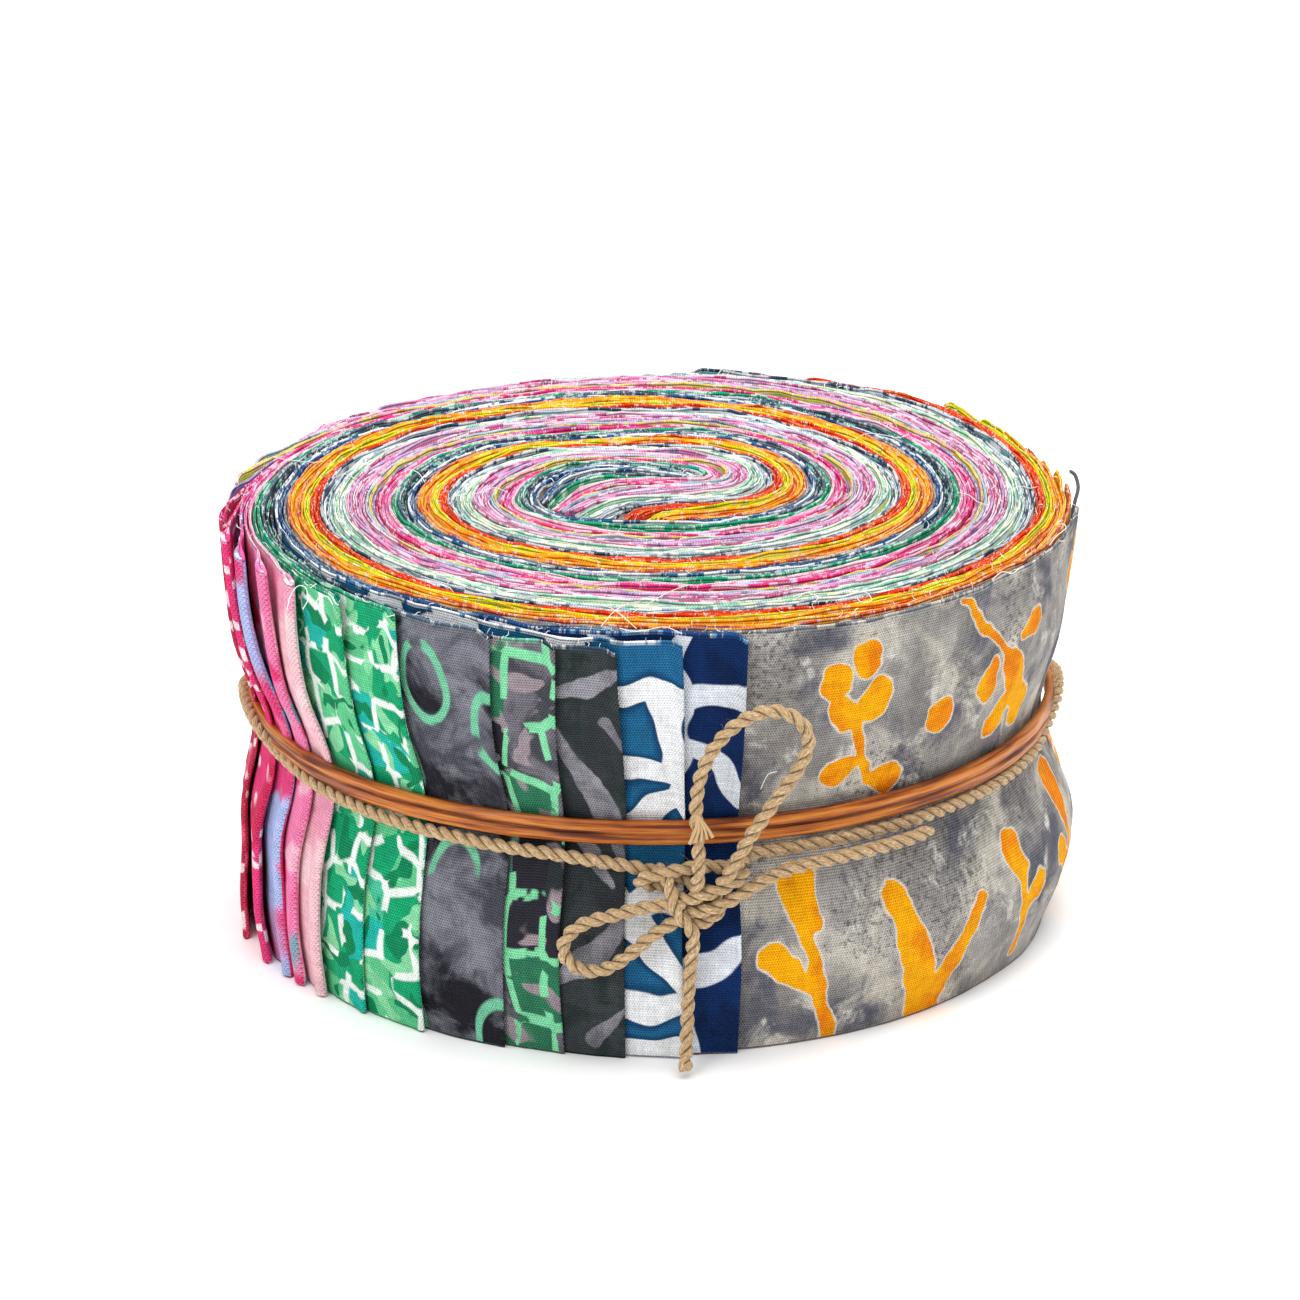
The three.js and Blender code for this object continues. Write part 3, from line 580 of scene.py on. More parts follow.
# Sprigs of round orange buds on thin stems and broad forked trunks. Each has the pale outline that the dye
# resist leaves.
SPRIGS = [
    {"x": 24, "y": 62, "to_x": 12, "to_y": 50, "half": 0.55, "end": 0.7},
    {"x": 12, "y": 50, "to_x": 9, "to_y": 44, "half": 1.6, "end": 2.6},
    {"x": 16, "y": 50, "to_x": 17, "to_y": 47, "half": 1.0, "end": 2.3},
    {"x": 9, "y": 53, "to_x": 6, "to_y": 54, "half": 0.8, "end": 2.2},
    {"x": 8, "y": 44, "to_x": 5, "to_y": 40, "half": 2.0, "end": 2.8},
    {"x": 12, "y": 43, "to_x": 13, "to_y": 40, "half": 1.2, "end": 2.2},
    {"x": 41, "y": 57, "to_x": 41, "to_y": 58, "half": 2.2, "end": 2.2},
    {"x": 46, "y": 55, "to_x": 46, "to_y": 54, "half": 2.3, "end": 2.3},
    {"x": 39, "y": 52, "to_x": 40, "to_y": 50, "half": 2.2, "end": 2.2},
    {"x": 45, "y": 50, "to_x": 44, "to_y": 49, "half": 2.2, "end": 2.0},
    {"x": 43, "y": 49, "to_x": 39, "to_y": 38, "half": 0.9, "end": 0.6},
    {"x": 38, "y": 38, "to_x": 35, "to_y": 37, "half": 0.8, "end": 2.4},
    {"x": 41, "y": 42, "to_x": 45, "to_y": 40, "half": 0.6, "end": 2.1},
    {"x": 27, "y": 46, "to_x": 27, "to_y": 45, "half": 2.0, "end": 2.2},
    {"x": 29, "y": -2, "to_x": 36, "to_y": 21, "half": 3.4, "end": 1.5},
    {"x": 30, "y": 1, "to_x": 20, "to_y": 16, "half": 2.4, "end": 0.8},
    {"x": 46, "y": -1, "to_x": 50, "to_y": 17, "half": 0.9, "end": 0.8},
    {"x": 50, "y": 19, "to_x": 51, "to_y": 24, "half": 2.0, "end": 2.8},
    {"x": 48, "y": 8, "to_x": 55, "to_y": 14, "half": 0.8, "end": 2.0},
    {"x": 8, "y": 3, "to_x": 9, "to_y": 15, "half": 0.7, "end": 0.7},
    {"x": 9, "y": 17, "to_x": 10, "to_y": 20, "half": 1.8, "end": 2.6},
    {"x": 9, "y": 10, "to_x": 4, "to_y": 13, "half": 0.7, "end": 1.9},
]
SPRIG_REPEAT_MM = 61.0


def nearest_stroke(tree, at, rows, melt):
    """The distance to the nearest of some strokes, run together over melt millimetres."""
    near = None
    for row in rows:
        run = (row["to_x"] - row["x"], row["to_y"] - row["y"], 0.0)
        one = add(tree, "ShaderNodeGroup", {"Cloth": at, "Start": (row["x"], row["y"], 0.0), "Run": run,
                                            "Share": 1.0 / (run[0] ** 2 + run[1] ** 2 + 1e-6),
                                            "Half Width": row["half"],
                                            "Widening": row["end"] - row["half"]}, node_tree=stroke)
        near = one if near is None else add(tree, "ShaderNodeMath", {0: near, 1: one, 2: melt},
                                            operation="SMOOTH_MIN")
    return near


def shaken_place(tree, place, repeat, by):
    """The place on the cloth within one repeat of a drawn print, its outlines made a little uneven."""
    shaken = add(tree, "ShaderNodeVectorMath",
                 {0: flat_noise(tree, place, 5.0).outputs["Color"], 1: (0.5, 0.5, 0.5)}, operation="SUBTRACT")
    shaken = add(tree, "ShaderNodeVectorMath", {0: shaken, "Scale": by}, operation="SCALE")
    at = add(tree, "ShaderNodeVectorMath", {0: place, 1: shaken}, operation="ADD")
    at = add(tree, "ShaderNodeVectorMath", {0: at, 1: (repeat, 1000.0, 1.0)}, operation="MODULO")
    return add(tree, "ShaderNodeVectorMath", {0: at, 1: (1.0, 1.0, 0.0)}, operation="MULTIPLY")


# Long grey leaves that lie aslant on the charcoal cloth.
LEAVES = [
    {"x": 16.5, "y": 52, "to_x": 9, "to_y": 37, "half": 0.5, "end": 2.1},
    {"x": 9, "y": 37, "to_x": 6, "to_y": 29, "half": 2.1, "end": 0.4},
    {"x": 16, "y": 36, "to_x": 11, "to_y": 30, "half": 0.3, "end": 1.2},
    {"x": 11, "y": 30, "to_x": 8, "to_y": 26, "half": 1.2, "end": 0.3},
    {"x": 5, "y": 61, "to_x": 11, "to_y": 57, "half": 0.5, "end": 1.5},
    {"x": 11, "y": 57, "to_x": 17, "to_y": 56, "half": 1.5, "end": 0.4},
    {"x": 5, "y": 22, "to_x": 11, "to_y": 15, "half": 0.6, "end": 2.2},
    {"x": 11, "y": 15, "to_x": 17, "to_y": 11, "half": 2.2, "end": 0.5},
    {"x": 6, "y": 8, "to_x": 10, "to_y": 3, "half": 0.4, "end": 1.4},
    {"x": 5, "y": 48, "to_x": 8, "to_y": 52, "half": 0.3, "end": 1.0},
]
LEAF_REPEAT_MM = 26.0


def grey_leaves(tree, place, colour):
    near = nearest_stroke(tree, shaken_place(tree, place, LEAF_REPEAT_MM, 1.6), LEAVES, 0.5)
    leaf = add(tree, "ShaderNodeMapRange", {0: near, 1: -0.15, 2: 0.20, 3: 0.92, 4: 0.0},
               interpolation_type="SMOOTHSTEP")
    blade = add(tree, "ShaderNodeMapRange", {0: flat_noise(tree, place, 5.0, 4.0, 0.6), 1: 0.35, 2: 0.65})
    return mixed(tree, leaf.outputs[0], colour,
                 mixed(tree, blade.outputs[0], linear("#6c6b73"), linear("#9a98a0")))


def orange_sprigs(tree, place, colour):
    """The ground's dark specks, then the sprigs over it."""
    zones = add(tree, "ShaderNodeMapRange",
                {0: flat_noise(tree, place, 22.0, move=5), 1: 0.42, 2: 0.62, 3: 0.70, 4: 0.53})
    specks = add(tree, "ShaderNodeMath", {0: flat_noise(tree, place, 0.9, 3.0, 0.7, move=6), 1: zones},
                 operation="SUBTRACT")
    specks = add(tree, "ShaderNodeMapRange", {0: specks, 1: -0.03, 2: 0.14, 3: 0.0, 4: 0.72})
    colour = mixed(tree, specks.outputs[0], colour, linear("#4b4746"))
    near = nearest_stroke(tree, shaken_place(tree, place, SPRIG_REPEAT_MM, 2.2), SPRIGS, 1.1)
    halo = add(tree, "ShaderNodeMapRange", {0: near, 1: 0.20, 2: 0.55, 3: 1.0, 4: 0.0},
               interpolation_type="SMOOTHSTEP")
    inside = add(tree, "ShaderNodeMapRange", {0: near, 1: -0.02, 2: 0.16, 3: 1.0, 4: 0.0},
                 interpolation_type="SMOOTHSTEP")
    dye = add(tree, "ShaderNodeMapRange", {0: flat_noise(tree, place, 9.0, 3.0, 0.55), 1: 0.40, 2: 0.60})
    petals = mixed(tree, dye.outputs[0], linear("#f7ac02"), linear("#ea8404"))
    colour = mixed(tree, halo.outputs[0], colour, linear("#d9d2c4"))
    return mixed(tree, inside.outputs[0], colour, petals)


def shape(kind, size, level, soft, colour, **more):
    return {"kind": kind, "size": size, "level": level, "soft": soft, "colour": colour, **more}


# Each cloth: its ground, the colours of its cut edges (two in runs and a dark one), and its printed shapes.
CLOTHS = {
    "orange": ("#f39a1e", ("#fda614", "#ffcc38", "#dd6a14"), [
        shape("blot", 11, 0.52, 0.06, "#ffc629"), shape("blot", 8, 0.60, 0.06, "#e8641c"),
        shape("blot", 7, 0.64, 0.04, "#fbe3bd"), shape("blot", 6, 0.68, 0.04, "#d8502a")]),
    "orange_red": ("#f2a23a", ("#f49a4a", "#d4512a", "#9c6a86"), [
        shape("blot", 6, 0.50, 0.06, "#f6c27a"), shape("blot", 5, 0.58, 0.06, "#dd5a33"),
        shape("blot", 5, 0.62, 0.06, "#f7ead2"), shape("blot", 5, 0.66, 0.04, "#8d2f35")]),
    "lime": ("#c9d51f", ("#d4de0a", "#efc818", "#7c9a18"), [
        shape("blot", 12, 0.52, 0.08, "#ebe437"), shape("blot", 9, 0.62, 0.06, "#98c13a"),
        shape("blot", 8, 0.66, 0.04, "#f5f1b0")]),
    "red": ("#e2431d", ("#ea3a0d", "#f7702a", "#a82414"), [
        shape("blot", 12, 0.54, 0.08, "#f26a2c"), shape("blot", 8, 0.62, 0.06, "#b9281a"),
        shape("blot", 9, 0.66, 0.04, "#f8c9a8")]),
    "slate": ("#64717e", ("#c6ced6", "#3a4f66", "#1a2b3c"), [
        shape("blot", 10, 0.50, 0.06, "#e6ebee"), shape("blot", 7, 0.60, 0.06, "#2d4a63"),
        shape("blot", 8, 0.63, 0.04, "#67a9a8")]),
    "mint": ("#d2edd2", ("#dcf2e2", "#9ad8b8", "#93a7b8"), [
        shape("blot", 9, 0.52, 0.06, "#f4f8ee"), shape("blot", 8, 0.60, 0.06, "#a4dcb0"),
        shape("blot", 7, 0.66, 0.04, "#5cbca6"), shape("blot", 9, 0.66, 0.04, "#b7d3e6")]),
    "mint_white": ("#f0f4ec", ("#f2f5f0", "#a9bccb", "#4c6076"), [
        shape("blot", 8, 0.56, 0.06, "#cdeac0"), shape("blot", 7, 0.64, 0.04, "#e9e58f"),
        shape("blot", 6, 0.66, 0.04, "#8fc7b8")]),
    "mint_yellow": ("#e4ecc0", ("#e4efca", "#8fd0b0", "#8296a0"), [
        shape("blot", 8, 0.56, 0.06, "#cdeac0"), shape("blot", 6, 0.64, 0.04, "#e9e58f")]),
    "mauve": ("#bb6f9e", ("#f0c6da", "#d2528c", "#7f3a68"), [
        shape("blot", 10, 0.52, 0.06, "#e6b6d0"), shape("blot", 7, 0.60, 0.06, "#7a4a86"),
        shape("blot", 7, 0.64, 0.04, "#f7edf2"), shape("blot", 6, 0.67, 0.04, "#9e2d5c")]),
    "mauve_purple": ("#9377ac", ("#cda9d3", "#ee8cba", "#6b5a8c"), [
        shape("blot", 9, 0.52, 0.06, "#e48bb2"), shape("blot", 8, 0.60, 0.06, "#dfe0ee"),
        shape("blot", 6, 0.65, 0.04, "#6b6f98")]),
    "mauve_rose": ("#c8899c", ("#f3d3dc", "#cc5d8a", "#8a4a68"), [
        shape("blot", 8, 0.52, 0.06, "#e8cfc9"), shape("blot", 7, 0.60, 0.06, "#8c3f66"),
        shape("blot", 8, 0.64, 0.04, "#a9a4bd"), shape("blot", 7, 0.67, 0.04, "#f2d38c")]),
    "teal_blue": ("#7fb8cc", ("#a9cbd8", "#d8bfd8", "#35718f"), [
        shape("blot", 9, 0.52, 0.06, "#d6e6ee"), shape("blot", 7, 0.60, 0.06, "#3f8ba6"),
        shape("blot", 7, 0.64, 0.04, "#b4a6d2")]),
    "yellow_green": ("#d3da4e", ("#dccf6a", "#eda2ba", "#a06a50"), [
        shape("blot", 8, 0.54, 0.06, "#f0eda0"), shape("blot", 7, 0.62, 0.06, "#9bbf5a")]),
    "violet": ("#9a8cc4", ("#a58fcb", "#e9cbe0", "#4b3d86"), [
        shape("blot", 8, 0.54, 0.06, "#d9cfe8"), shape("blot", 7, 0.62, 0.06, "#5a5797")]),
    "burgundy": ("#b8304f", ("#c8306a", "#f3adc6", "#7c1840"), [
        shape("dash", 7, 0.20, 0.05, "#f3d9dd", stretch=0.55), shape("blot", 7, 0.62, 0.06, "#dd5577")]),
    "magenta": ("#e33c78", ("#ec3d84", "#fac4da", "#a81c54"), [
        shape("dash", 6, 0.22, 0.05, "#f8dfe5", stretch=0.6), shape("blot", 9, 0.58, 0.06, "#c92c58")]),
    "periwinkle": ("#e0457f", ("#e8589a", "#bccaf0", "#b03a78"), [
        shape("blot", 16, 0.50, 0.04, "#a9b9e6", stretch=1.8), shape("blot", 5, 0.68, 0.04, "#e86a96")]),
    "pink": ("#f07fae", ("#f07cb2", "#f7c3d8", "#c43c80"), [
        shape("blot", 12, 0.59, 0.04, "#66b1bd", stretch=1.6), shape("blot", 9, 0.58, 0.04, "#f5b3ca"),
        shape("blot", 10, 0.64, 0.04, "#e43a76")]),
    "pale_pink": ("#f3bfc8", ("#f6cfdb", "#ee8fb8", "#c0709a"), [
        shape("blot", 14, 0.58, 0.08, "#f7dadb"), shape("blot", 14, 0.66, 0.06, "#ee9cb8")]),
    "green": ("#12a06c", ("#17a378", "#a6dfc0", "#0a6a55"), [
        shape("cell", 5.6, 0.58, 0.01, "#5fc48a", bend=2, random=0.55),
        shape("cell", 5.6, 0.82, 0.01, "#1fb3a4", bend=2, random=0.55),
        shape("blot", 5, 0.60, 0.012, "#86d4a0"), shape("blot", 4.5, 0.61, 0.012, "#0a8355"),
        shape("net", 5.6, 0.10, 0.04, "#eef6f0", bend=2, random=0.55, broken=0.47)]),
    "purple_grey": ("#45454f", ("#566b80", "#bcc5d0", "#22303f"), [
        shape("cloud", 13, 0.50, 0.13, "#7f808a"), shape("cloud", 15, 0.54, 0.08, "#1f1e26"),
        shape("ring", 16, 0.034, 0.012, "#74c39d", radius=0.23, stretch=1.5, bend=2, broken=0.44)]),
    "grey_green": ("#45454d", ("#2e3f4c", "#6fbd9c", "#0f1c26"), [
        shape("cloud", 8, 0.52, 0.10, "#716e77"),
        shape("cell", 6, 0.60, 0.01, "#2f7355", stretch=1.5, random=0.5, bend=2),
        shape("cell", 6, 0.80, 0.01, "#2b2a32", stretch=1.5, random=0.5, bend=2),
        shape("blot", 4, 0.63, 0.04, "#998b92"),
        shape("net", 6, 0.085, 0.02, "#7fd6a2", stretch=1.5, random=0.5, bend=2, broken=0.46)]),
    "charcoal": ("#3a4042", ("#3b5064", "#a3b1bc", "#182634"), [
        shape("cloud", 4, 0.56, 0.12, "#25302f"), shape("cloud", 12, 0.52, 0.12, "#2f3336")]),
    "white_blue": ("#e9ebed", ("#e9edf1", "#2b6a98", "#123c5e"), [
        shape("pebble", 15, 0.17, 0.012, "#0f4068", stretch=0.8),
        shape("pebble", 15, 0.24, 0.06, "#1e618c", stretch=0.8)]),
    "blue_lattice": ("#0a2a5c", ("#1a4c88", "#7fa9cc", "#0d2b58"), [
        shape("cloud", 9, 0.55, 0.12, "#071f48"),
        shape("net", 19, 0.075, 0.008, "#dfe5ee", stretch=1.35, turn=24)]),
    "grey_sprig": ("#86827f", ("#7a8088", "#c4bdb4", "#3d4650"), [
        shape("cloud", 21, 0.50, 0.15, "#aeaaa6"), shape("cloud", 13, 0.57, 0.11, "#5f606b"),
        shape("cloud", 15, 0.58, 0.10, "#c9c3b6"), shape("cloud", 8, 0.65, 0.08, "#d5d1c8")]),
}
cotton = {name: printed_cotton("printed cotton " + name.replace("_", " "), ground, shapes, cut_edge,
                               sprigs={"grey_sprig": orange_sprigs, "charcoal": grey_leaves}.get(name))
          for name, (ground, cut_edge, shapes) in CLOTHS.items()}

# The strips of printed cotton. Each is cut 63.5 mm wide, folded double end to end, and wound with the other
# 39 in one stack that folds back on itself at the core. strip_01 is outermost in the stack, and the ends step
# round the roll.
STRIP_WIDTH_MM = 63.5
ENDS = [
    {"cloths": ["orange_red", "orange", "orange", "orange_red", "orange"], "first": 4, "step": 6,
     "lift": 0.5, "flare": 0.1, "lean": 0},
    {"cloths": ["lime", "lime"], "first": 36, "step": 8, "lift": 0.6, "flare": 1.2, "lean": 1},
    {"cloths": ["red", "red", "red"], "first": 56, "step": 12, "lift": 0.6, "flare": 0.9, "lean": 0},
    {"cloths": ["slate", "mint_white", "slate"], "first": 84, "step": 4, "lift": 0.6, "flare": 1.2,
     "lean": 0},
    {"cloths": ["mint", "mint_white", "mint_yellow", "mint_white", "mint"], "first": 98, "step": 7,
     "lift": 0.5, "flare": 0.0, "lean": 1},
    {"cloths": ["mauve", "mauve_purple", "mauve_rose", "mauve", "mauve_purple", "mauve_rose"],
     "first": 132, "step": 6, "lift": 0.5, "flare": 0.2, "lean": -1},
    {"cloths": ["teal_blue"], "first": 168, "step": 0, "lift": 0.8, "flare": 0.8, "lean": 1},
    {"cloths": ["yellow_green"], "first": 174, "step": 0, "lift": 0.9, "flare": 0.8, "lean": 1},
    {"cloths": ["violet"], "first": 181, "step": 0, "lift": 1.2, "flare": 0.4, "lean": 1},
    {"cloths": ["burgundy"], "first": 188, "step": 0, "lift": 1.3, "flare": 0.2, "lean": 13, "bulb": 0.7},
    {"cloths": ["magenta"], "first": 197.5, "step": 0, "lift": 1.7, "flare": 0.0, "lean": 12.5, "bulb": 1.0},
    {"cloths": ["periwinkle"], "first": 205, "step": 0, "lift": 1.8, "flare": 0.0, "lean": 10, "bulb": 1.2},
    {"cloths": ["pink"], "first": 211.5, "step": 0, "lift": 1.7, "flare": 0.0, "lean": 6.5, "bulb": 1.2},
    {"cloths": ["pale_pink"], "first": 218.5, "step": 0, "lift": 1.4, "flare": 0.0, "lean": 3.6, "bulb": 1.2},
    {"cloths": ["green", "green"], "first": 227, "step": 9.3, "lift": 0.9, "flare": 0.0, "lean": 3,
     "bulb": 0.45},
    {"cloths": ["purple_grey"], "first": 249.6, "step": 0, "lift": 0.6, "flare": 0.0, "lean": 1.5,
     "drop": 0.8},
    {"cloths": ["grey_green"], "first": 257.8, "step": 0, "lift": 0.6, "flare": 0.0, "lean": 1, "drop": 1.2},
    {"cloths": ["charcoal"], "first": 266.1, "step": 0, "lift": 0.5, "flare": 0.0, "lean": 0.7, "drop": 1.5},
    {"cloths": ["white_blue"], "first": 274.1, "step": 0, "lift": 0.6, "flare": 0.3, "lean": 0.3,
     "drop": 0.8},
    {"cloths": ["blue_lattice"], "first": 282.1, "step": 0, "lift": 0.6, "flare": 0.0, "lean": -0.8,
     "drop": 0.1},
    {"cloths": ["grey_sprig"], "first": 356, "step": 0, "lift": 0.5, "flare": 0.9, "lean": 0},
]
# The ends lie two whole turns out from the core fold, and the outside begins a little before the first one.
WHOLE_TURNS_DEG = 720
OUTSIDE_FROM_DEG = 716
LAST_DEG = OUTSIDE_FROM_DEG + 360
STRIPS = [{"bulb": 0.12, "drop": 0.0, **row, "cloth": cloth, "end": row["first"] + row["step"] * k}
          for row in ENDS for k, cloth in enumerate(row["cloths"])]
COUNT = len(STRIPS)
end_turns = [WHOLE_TURNS_DEG + row["end"] for row in STRIPS]
# The inner face of the stack: direction, unwound from the core fold outwards, and distance from the middle.
WINDING = {"deg": [51, 84, 97, 111, 135, 148, 159, 180, 194, 213, 228, 243, 269, 287, 316, 336, 354,
                   373, 393, 412, 433, 450, 474, 495, 511, 528, 547, 590, 630, 675, 694, 709, 722, 746,
                   760, 776, 795, 810, 824, 838, 850, 862, 880, 892, 907, 930, 990, 1002, 1040, 1076],
           "mm": [9.3, 9.5, 10.2, 11.7, 12.9, 13.8, 14.8, 16.3, 17.1, 17.1, 16.6, 15.3, 14.2, 15.0,
                  17.3, 20.2, 22.5, 23.9, 25.3, 26.3, 26.6, 26.0, 27.0, 30.4, 32.0, 33.3, 34.9, 35.8,
                  36.6, 39.6, 41.0, 41.7, 42.1, 42.3, 42.5, 43.3, 45.4, 46.7, 46.9, 47.9, 48.9, 50.4,
                  52.3, 53.0, 54.1, 55.8, 60.0, 61.0, 61.9, 62.1]}
# The outside of the roll is a little flat at the back left and at the right, where the ends thin the stack.
OUTSIDE = {"deg": [0, 7, 20, 32, 44, 53, 67, 80, 90, 101, 113, 123, 133, 143, 150, 165, 173, 183, 200,
                   345, 356, 360],
           "mm": [61.9, 61.6, 61.2, 61.7, 62.5, 62.7, 62.5, 61.6, 60.4, 58.9, 58.0, 57.8, 58.1, 58.7,
                  59.4, 60.3, 61.0, 61.8, 62.8, 62.8, 62.4, 61.9]}
HELD_RADIUS_MM = ROLL_RADIUS_MM - WAIST_DEPTH_MM
FOLD = {"deg": 51.0, "mm": 9.3}
LEG_DEG = 300.0
# The legs inside the fold crowd towards its tip. They leave it pointing left, the inner ones rising to lie
# along the turn above.
CORE = {"crowding": 0.5, "strip": [0, 5, 15, 20, 30, 39], "way": [183, 185, 188, 183, 167, 154],
        "pull": [1.0, 1.1, 1.25, 1.35, 1.55, 1.9]}
# Where the strips' inner ends lie against the innermost turn, and the way they point there.
INNER_ENDS = {"strip": [0, 2, 8, 11, 15, 20, 30, 34, 39],
              "deg": [285, 279, 261, 242, 233, 222, 212, 204, 193],
              "way": [-62, -65, -72, -103, -122, -117, -108, -104, -100]}


def eased(t, start, leaving, stop, arriving):
    """A curve from start to stop as t goes from 0 to 1, with the way it leaves and the way it arrives."""
    return ((2 * t**3 - 3 * t**2 + 1) * start + (t**3 - 2 * t**2 + t) * leaving
            + (3 * t**2 - 2 * t**3) * stop + (t**3 - t**2) * arriving)


def smooth_between(x, table, key):
    """A smooth value between the rows of a table."""
    xs, ys = np.array(table[key], float), np.array(table["mm" if "mm" in table else "deg"], float)
    slopes = np.gradient(ys, xs)
    k = np.clip(np.searchsorted(xs, x, side="right") - 1, 0, len(xs) - 2)
    h = xs[k + 1] - xs[k]
    t = np.clip((x - xs[k]) / h, 0, 1)
    return eased(t, ys[k], h * slopes[k], ys[k + 1], h * slopes[k + 1])


def polar(radius, deg):
    return np.stack([radius * np.cos(np.radians(deg)), radius * np.sin(np.radians(deg))], -1)


def smoothstep(x, low, high):
    t = np.clip((x - low) / (high - low), 0, 1)
    return t * t * (3 - 2 * t)


def strip_line(m):
    """The middle line of strip m from its outer to its inner end, seen from above, and how far it shows."""
    # The winding: the stack is shared out between its inner face and the next turn, or the roll's outside.
    end = end_turns[m]
    deg = np.arange(end, FOLD["deg"], -0.5)
    inner = smooth_between(deg, WINDING, "deg")
    next_turn = smooth_between(np.minimum(deg + 360, LAST_DEG), WINDING, "deg")
    outside = np.interp(deg % 360, OUTSIDE["deg"], OUTSIDE["mm"]) - 0.25
    outer = next_turn + (outside - next_turn) * smoothstep(deg, OUTSIDE_FROM_DEG - 26, OUTSIDE_FROM_DEG + 8)
    ended = np.interp(deg, [OUTSIDE_FROM_DEG] + end_turns[:-1] + [LAST_DEG], list(range(COUNT)) + [COUNT - 1])
    ended = np.minimum(ended, COUNT - 1)
    place = (COUNT - 1 - m + 0.5) / (COUNT - np.where(deg < OUTSIDE_FROM_DEG, 0, ended))
    start = end_turns[m - 1] if m else OUTSIDE_FROM_DEG
    u = np.clip((deg - start) / (end - start), 0, 1)
    shown = 1 - (1 - u) ** 1.7
    line = [polar(inner + place * (outer - inner), deg)]
    # Round the core fold, nearer to its tip the further in the strip lies.
    place = (COUNT - 1 - m + 0.5) / COUNT
    tip = polar(np.array(FOLD["mm"]), np.array(FOLD["deg"]))
    deg = np.arange(FOLD["deg"] + 360, LEG_DEG, -1.0)
    bend = place ** (1 + CORE["crowding"] * smoothstep(-deg, -FOLD["deg"] - 360, -LEG_DEG))
    line.append(tip + bend[:, None] * (polar(smooth_between(deg, WINDING, "deg"), deg) - tip))
    # The inner leg: an even curve from the fold to the inner end.
    end_deg = smooth_between(np.array(float(m)), INNER_ENDS, "strip")
    in_way = math.radians(np.interp(m, INNER_ENDS["strip"], INNER_ENDS["way"]))
    last = polar(smooth_between(end_deg, WINDING, "deg") - 0.35, end_deg)
    first = line[-1][-1]
    out_way = math.radians(np.interp(m, CORE["strip"], CORE["way"]))
    reach = np.linalg.norm(last - first) * np.interp(m, CORE["strip"], CORE["pull"])
    t = np.linspace(0, 1, 90)[1:, None]
    leaving, arriving = (reach * np.array([math.cos(a), math.sin(a)]) for a in (out_way, in_way))
    line.append(eased(t, first, leaving, last, arriving))
    line = np.vstack(line)
    run = np.concatenate([[0], np.cumsum(np.linalg.norm(np.diff(line, axis=0), axis=1))])
    return line, run, np.append(shown, np.zeros(len(line) - len(shown)))


SHEET_LEVELS = np.array([0.4, 8, 17, 24, 29, 34, 41, 55])
PANEL_LEVELS = np.concatenate([[0.35, 1.0], np.linspace(2.8, 60.8, 26), [62.2]])
LIFT_BY_HEIGHT = {"z": [0, 8, 18, 26, 34, 44, 50, 56, 63.5],
                  "share": [0.0, 0.1, 0.1, 0, 0, 0.15, 0.3, 0.65, 1.0]}


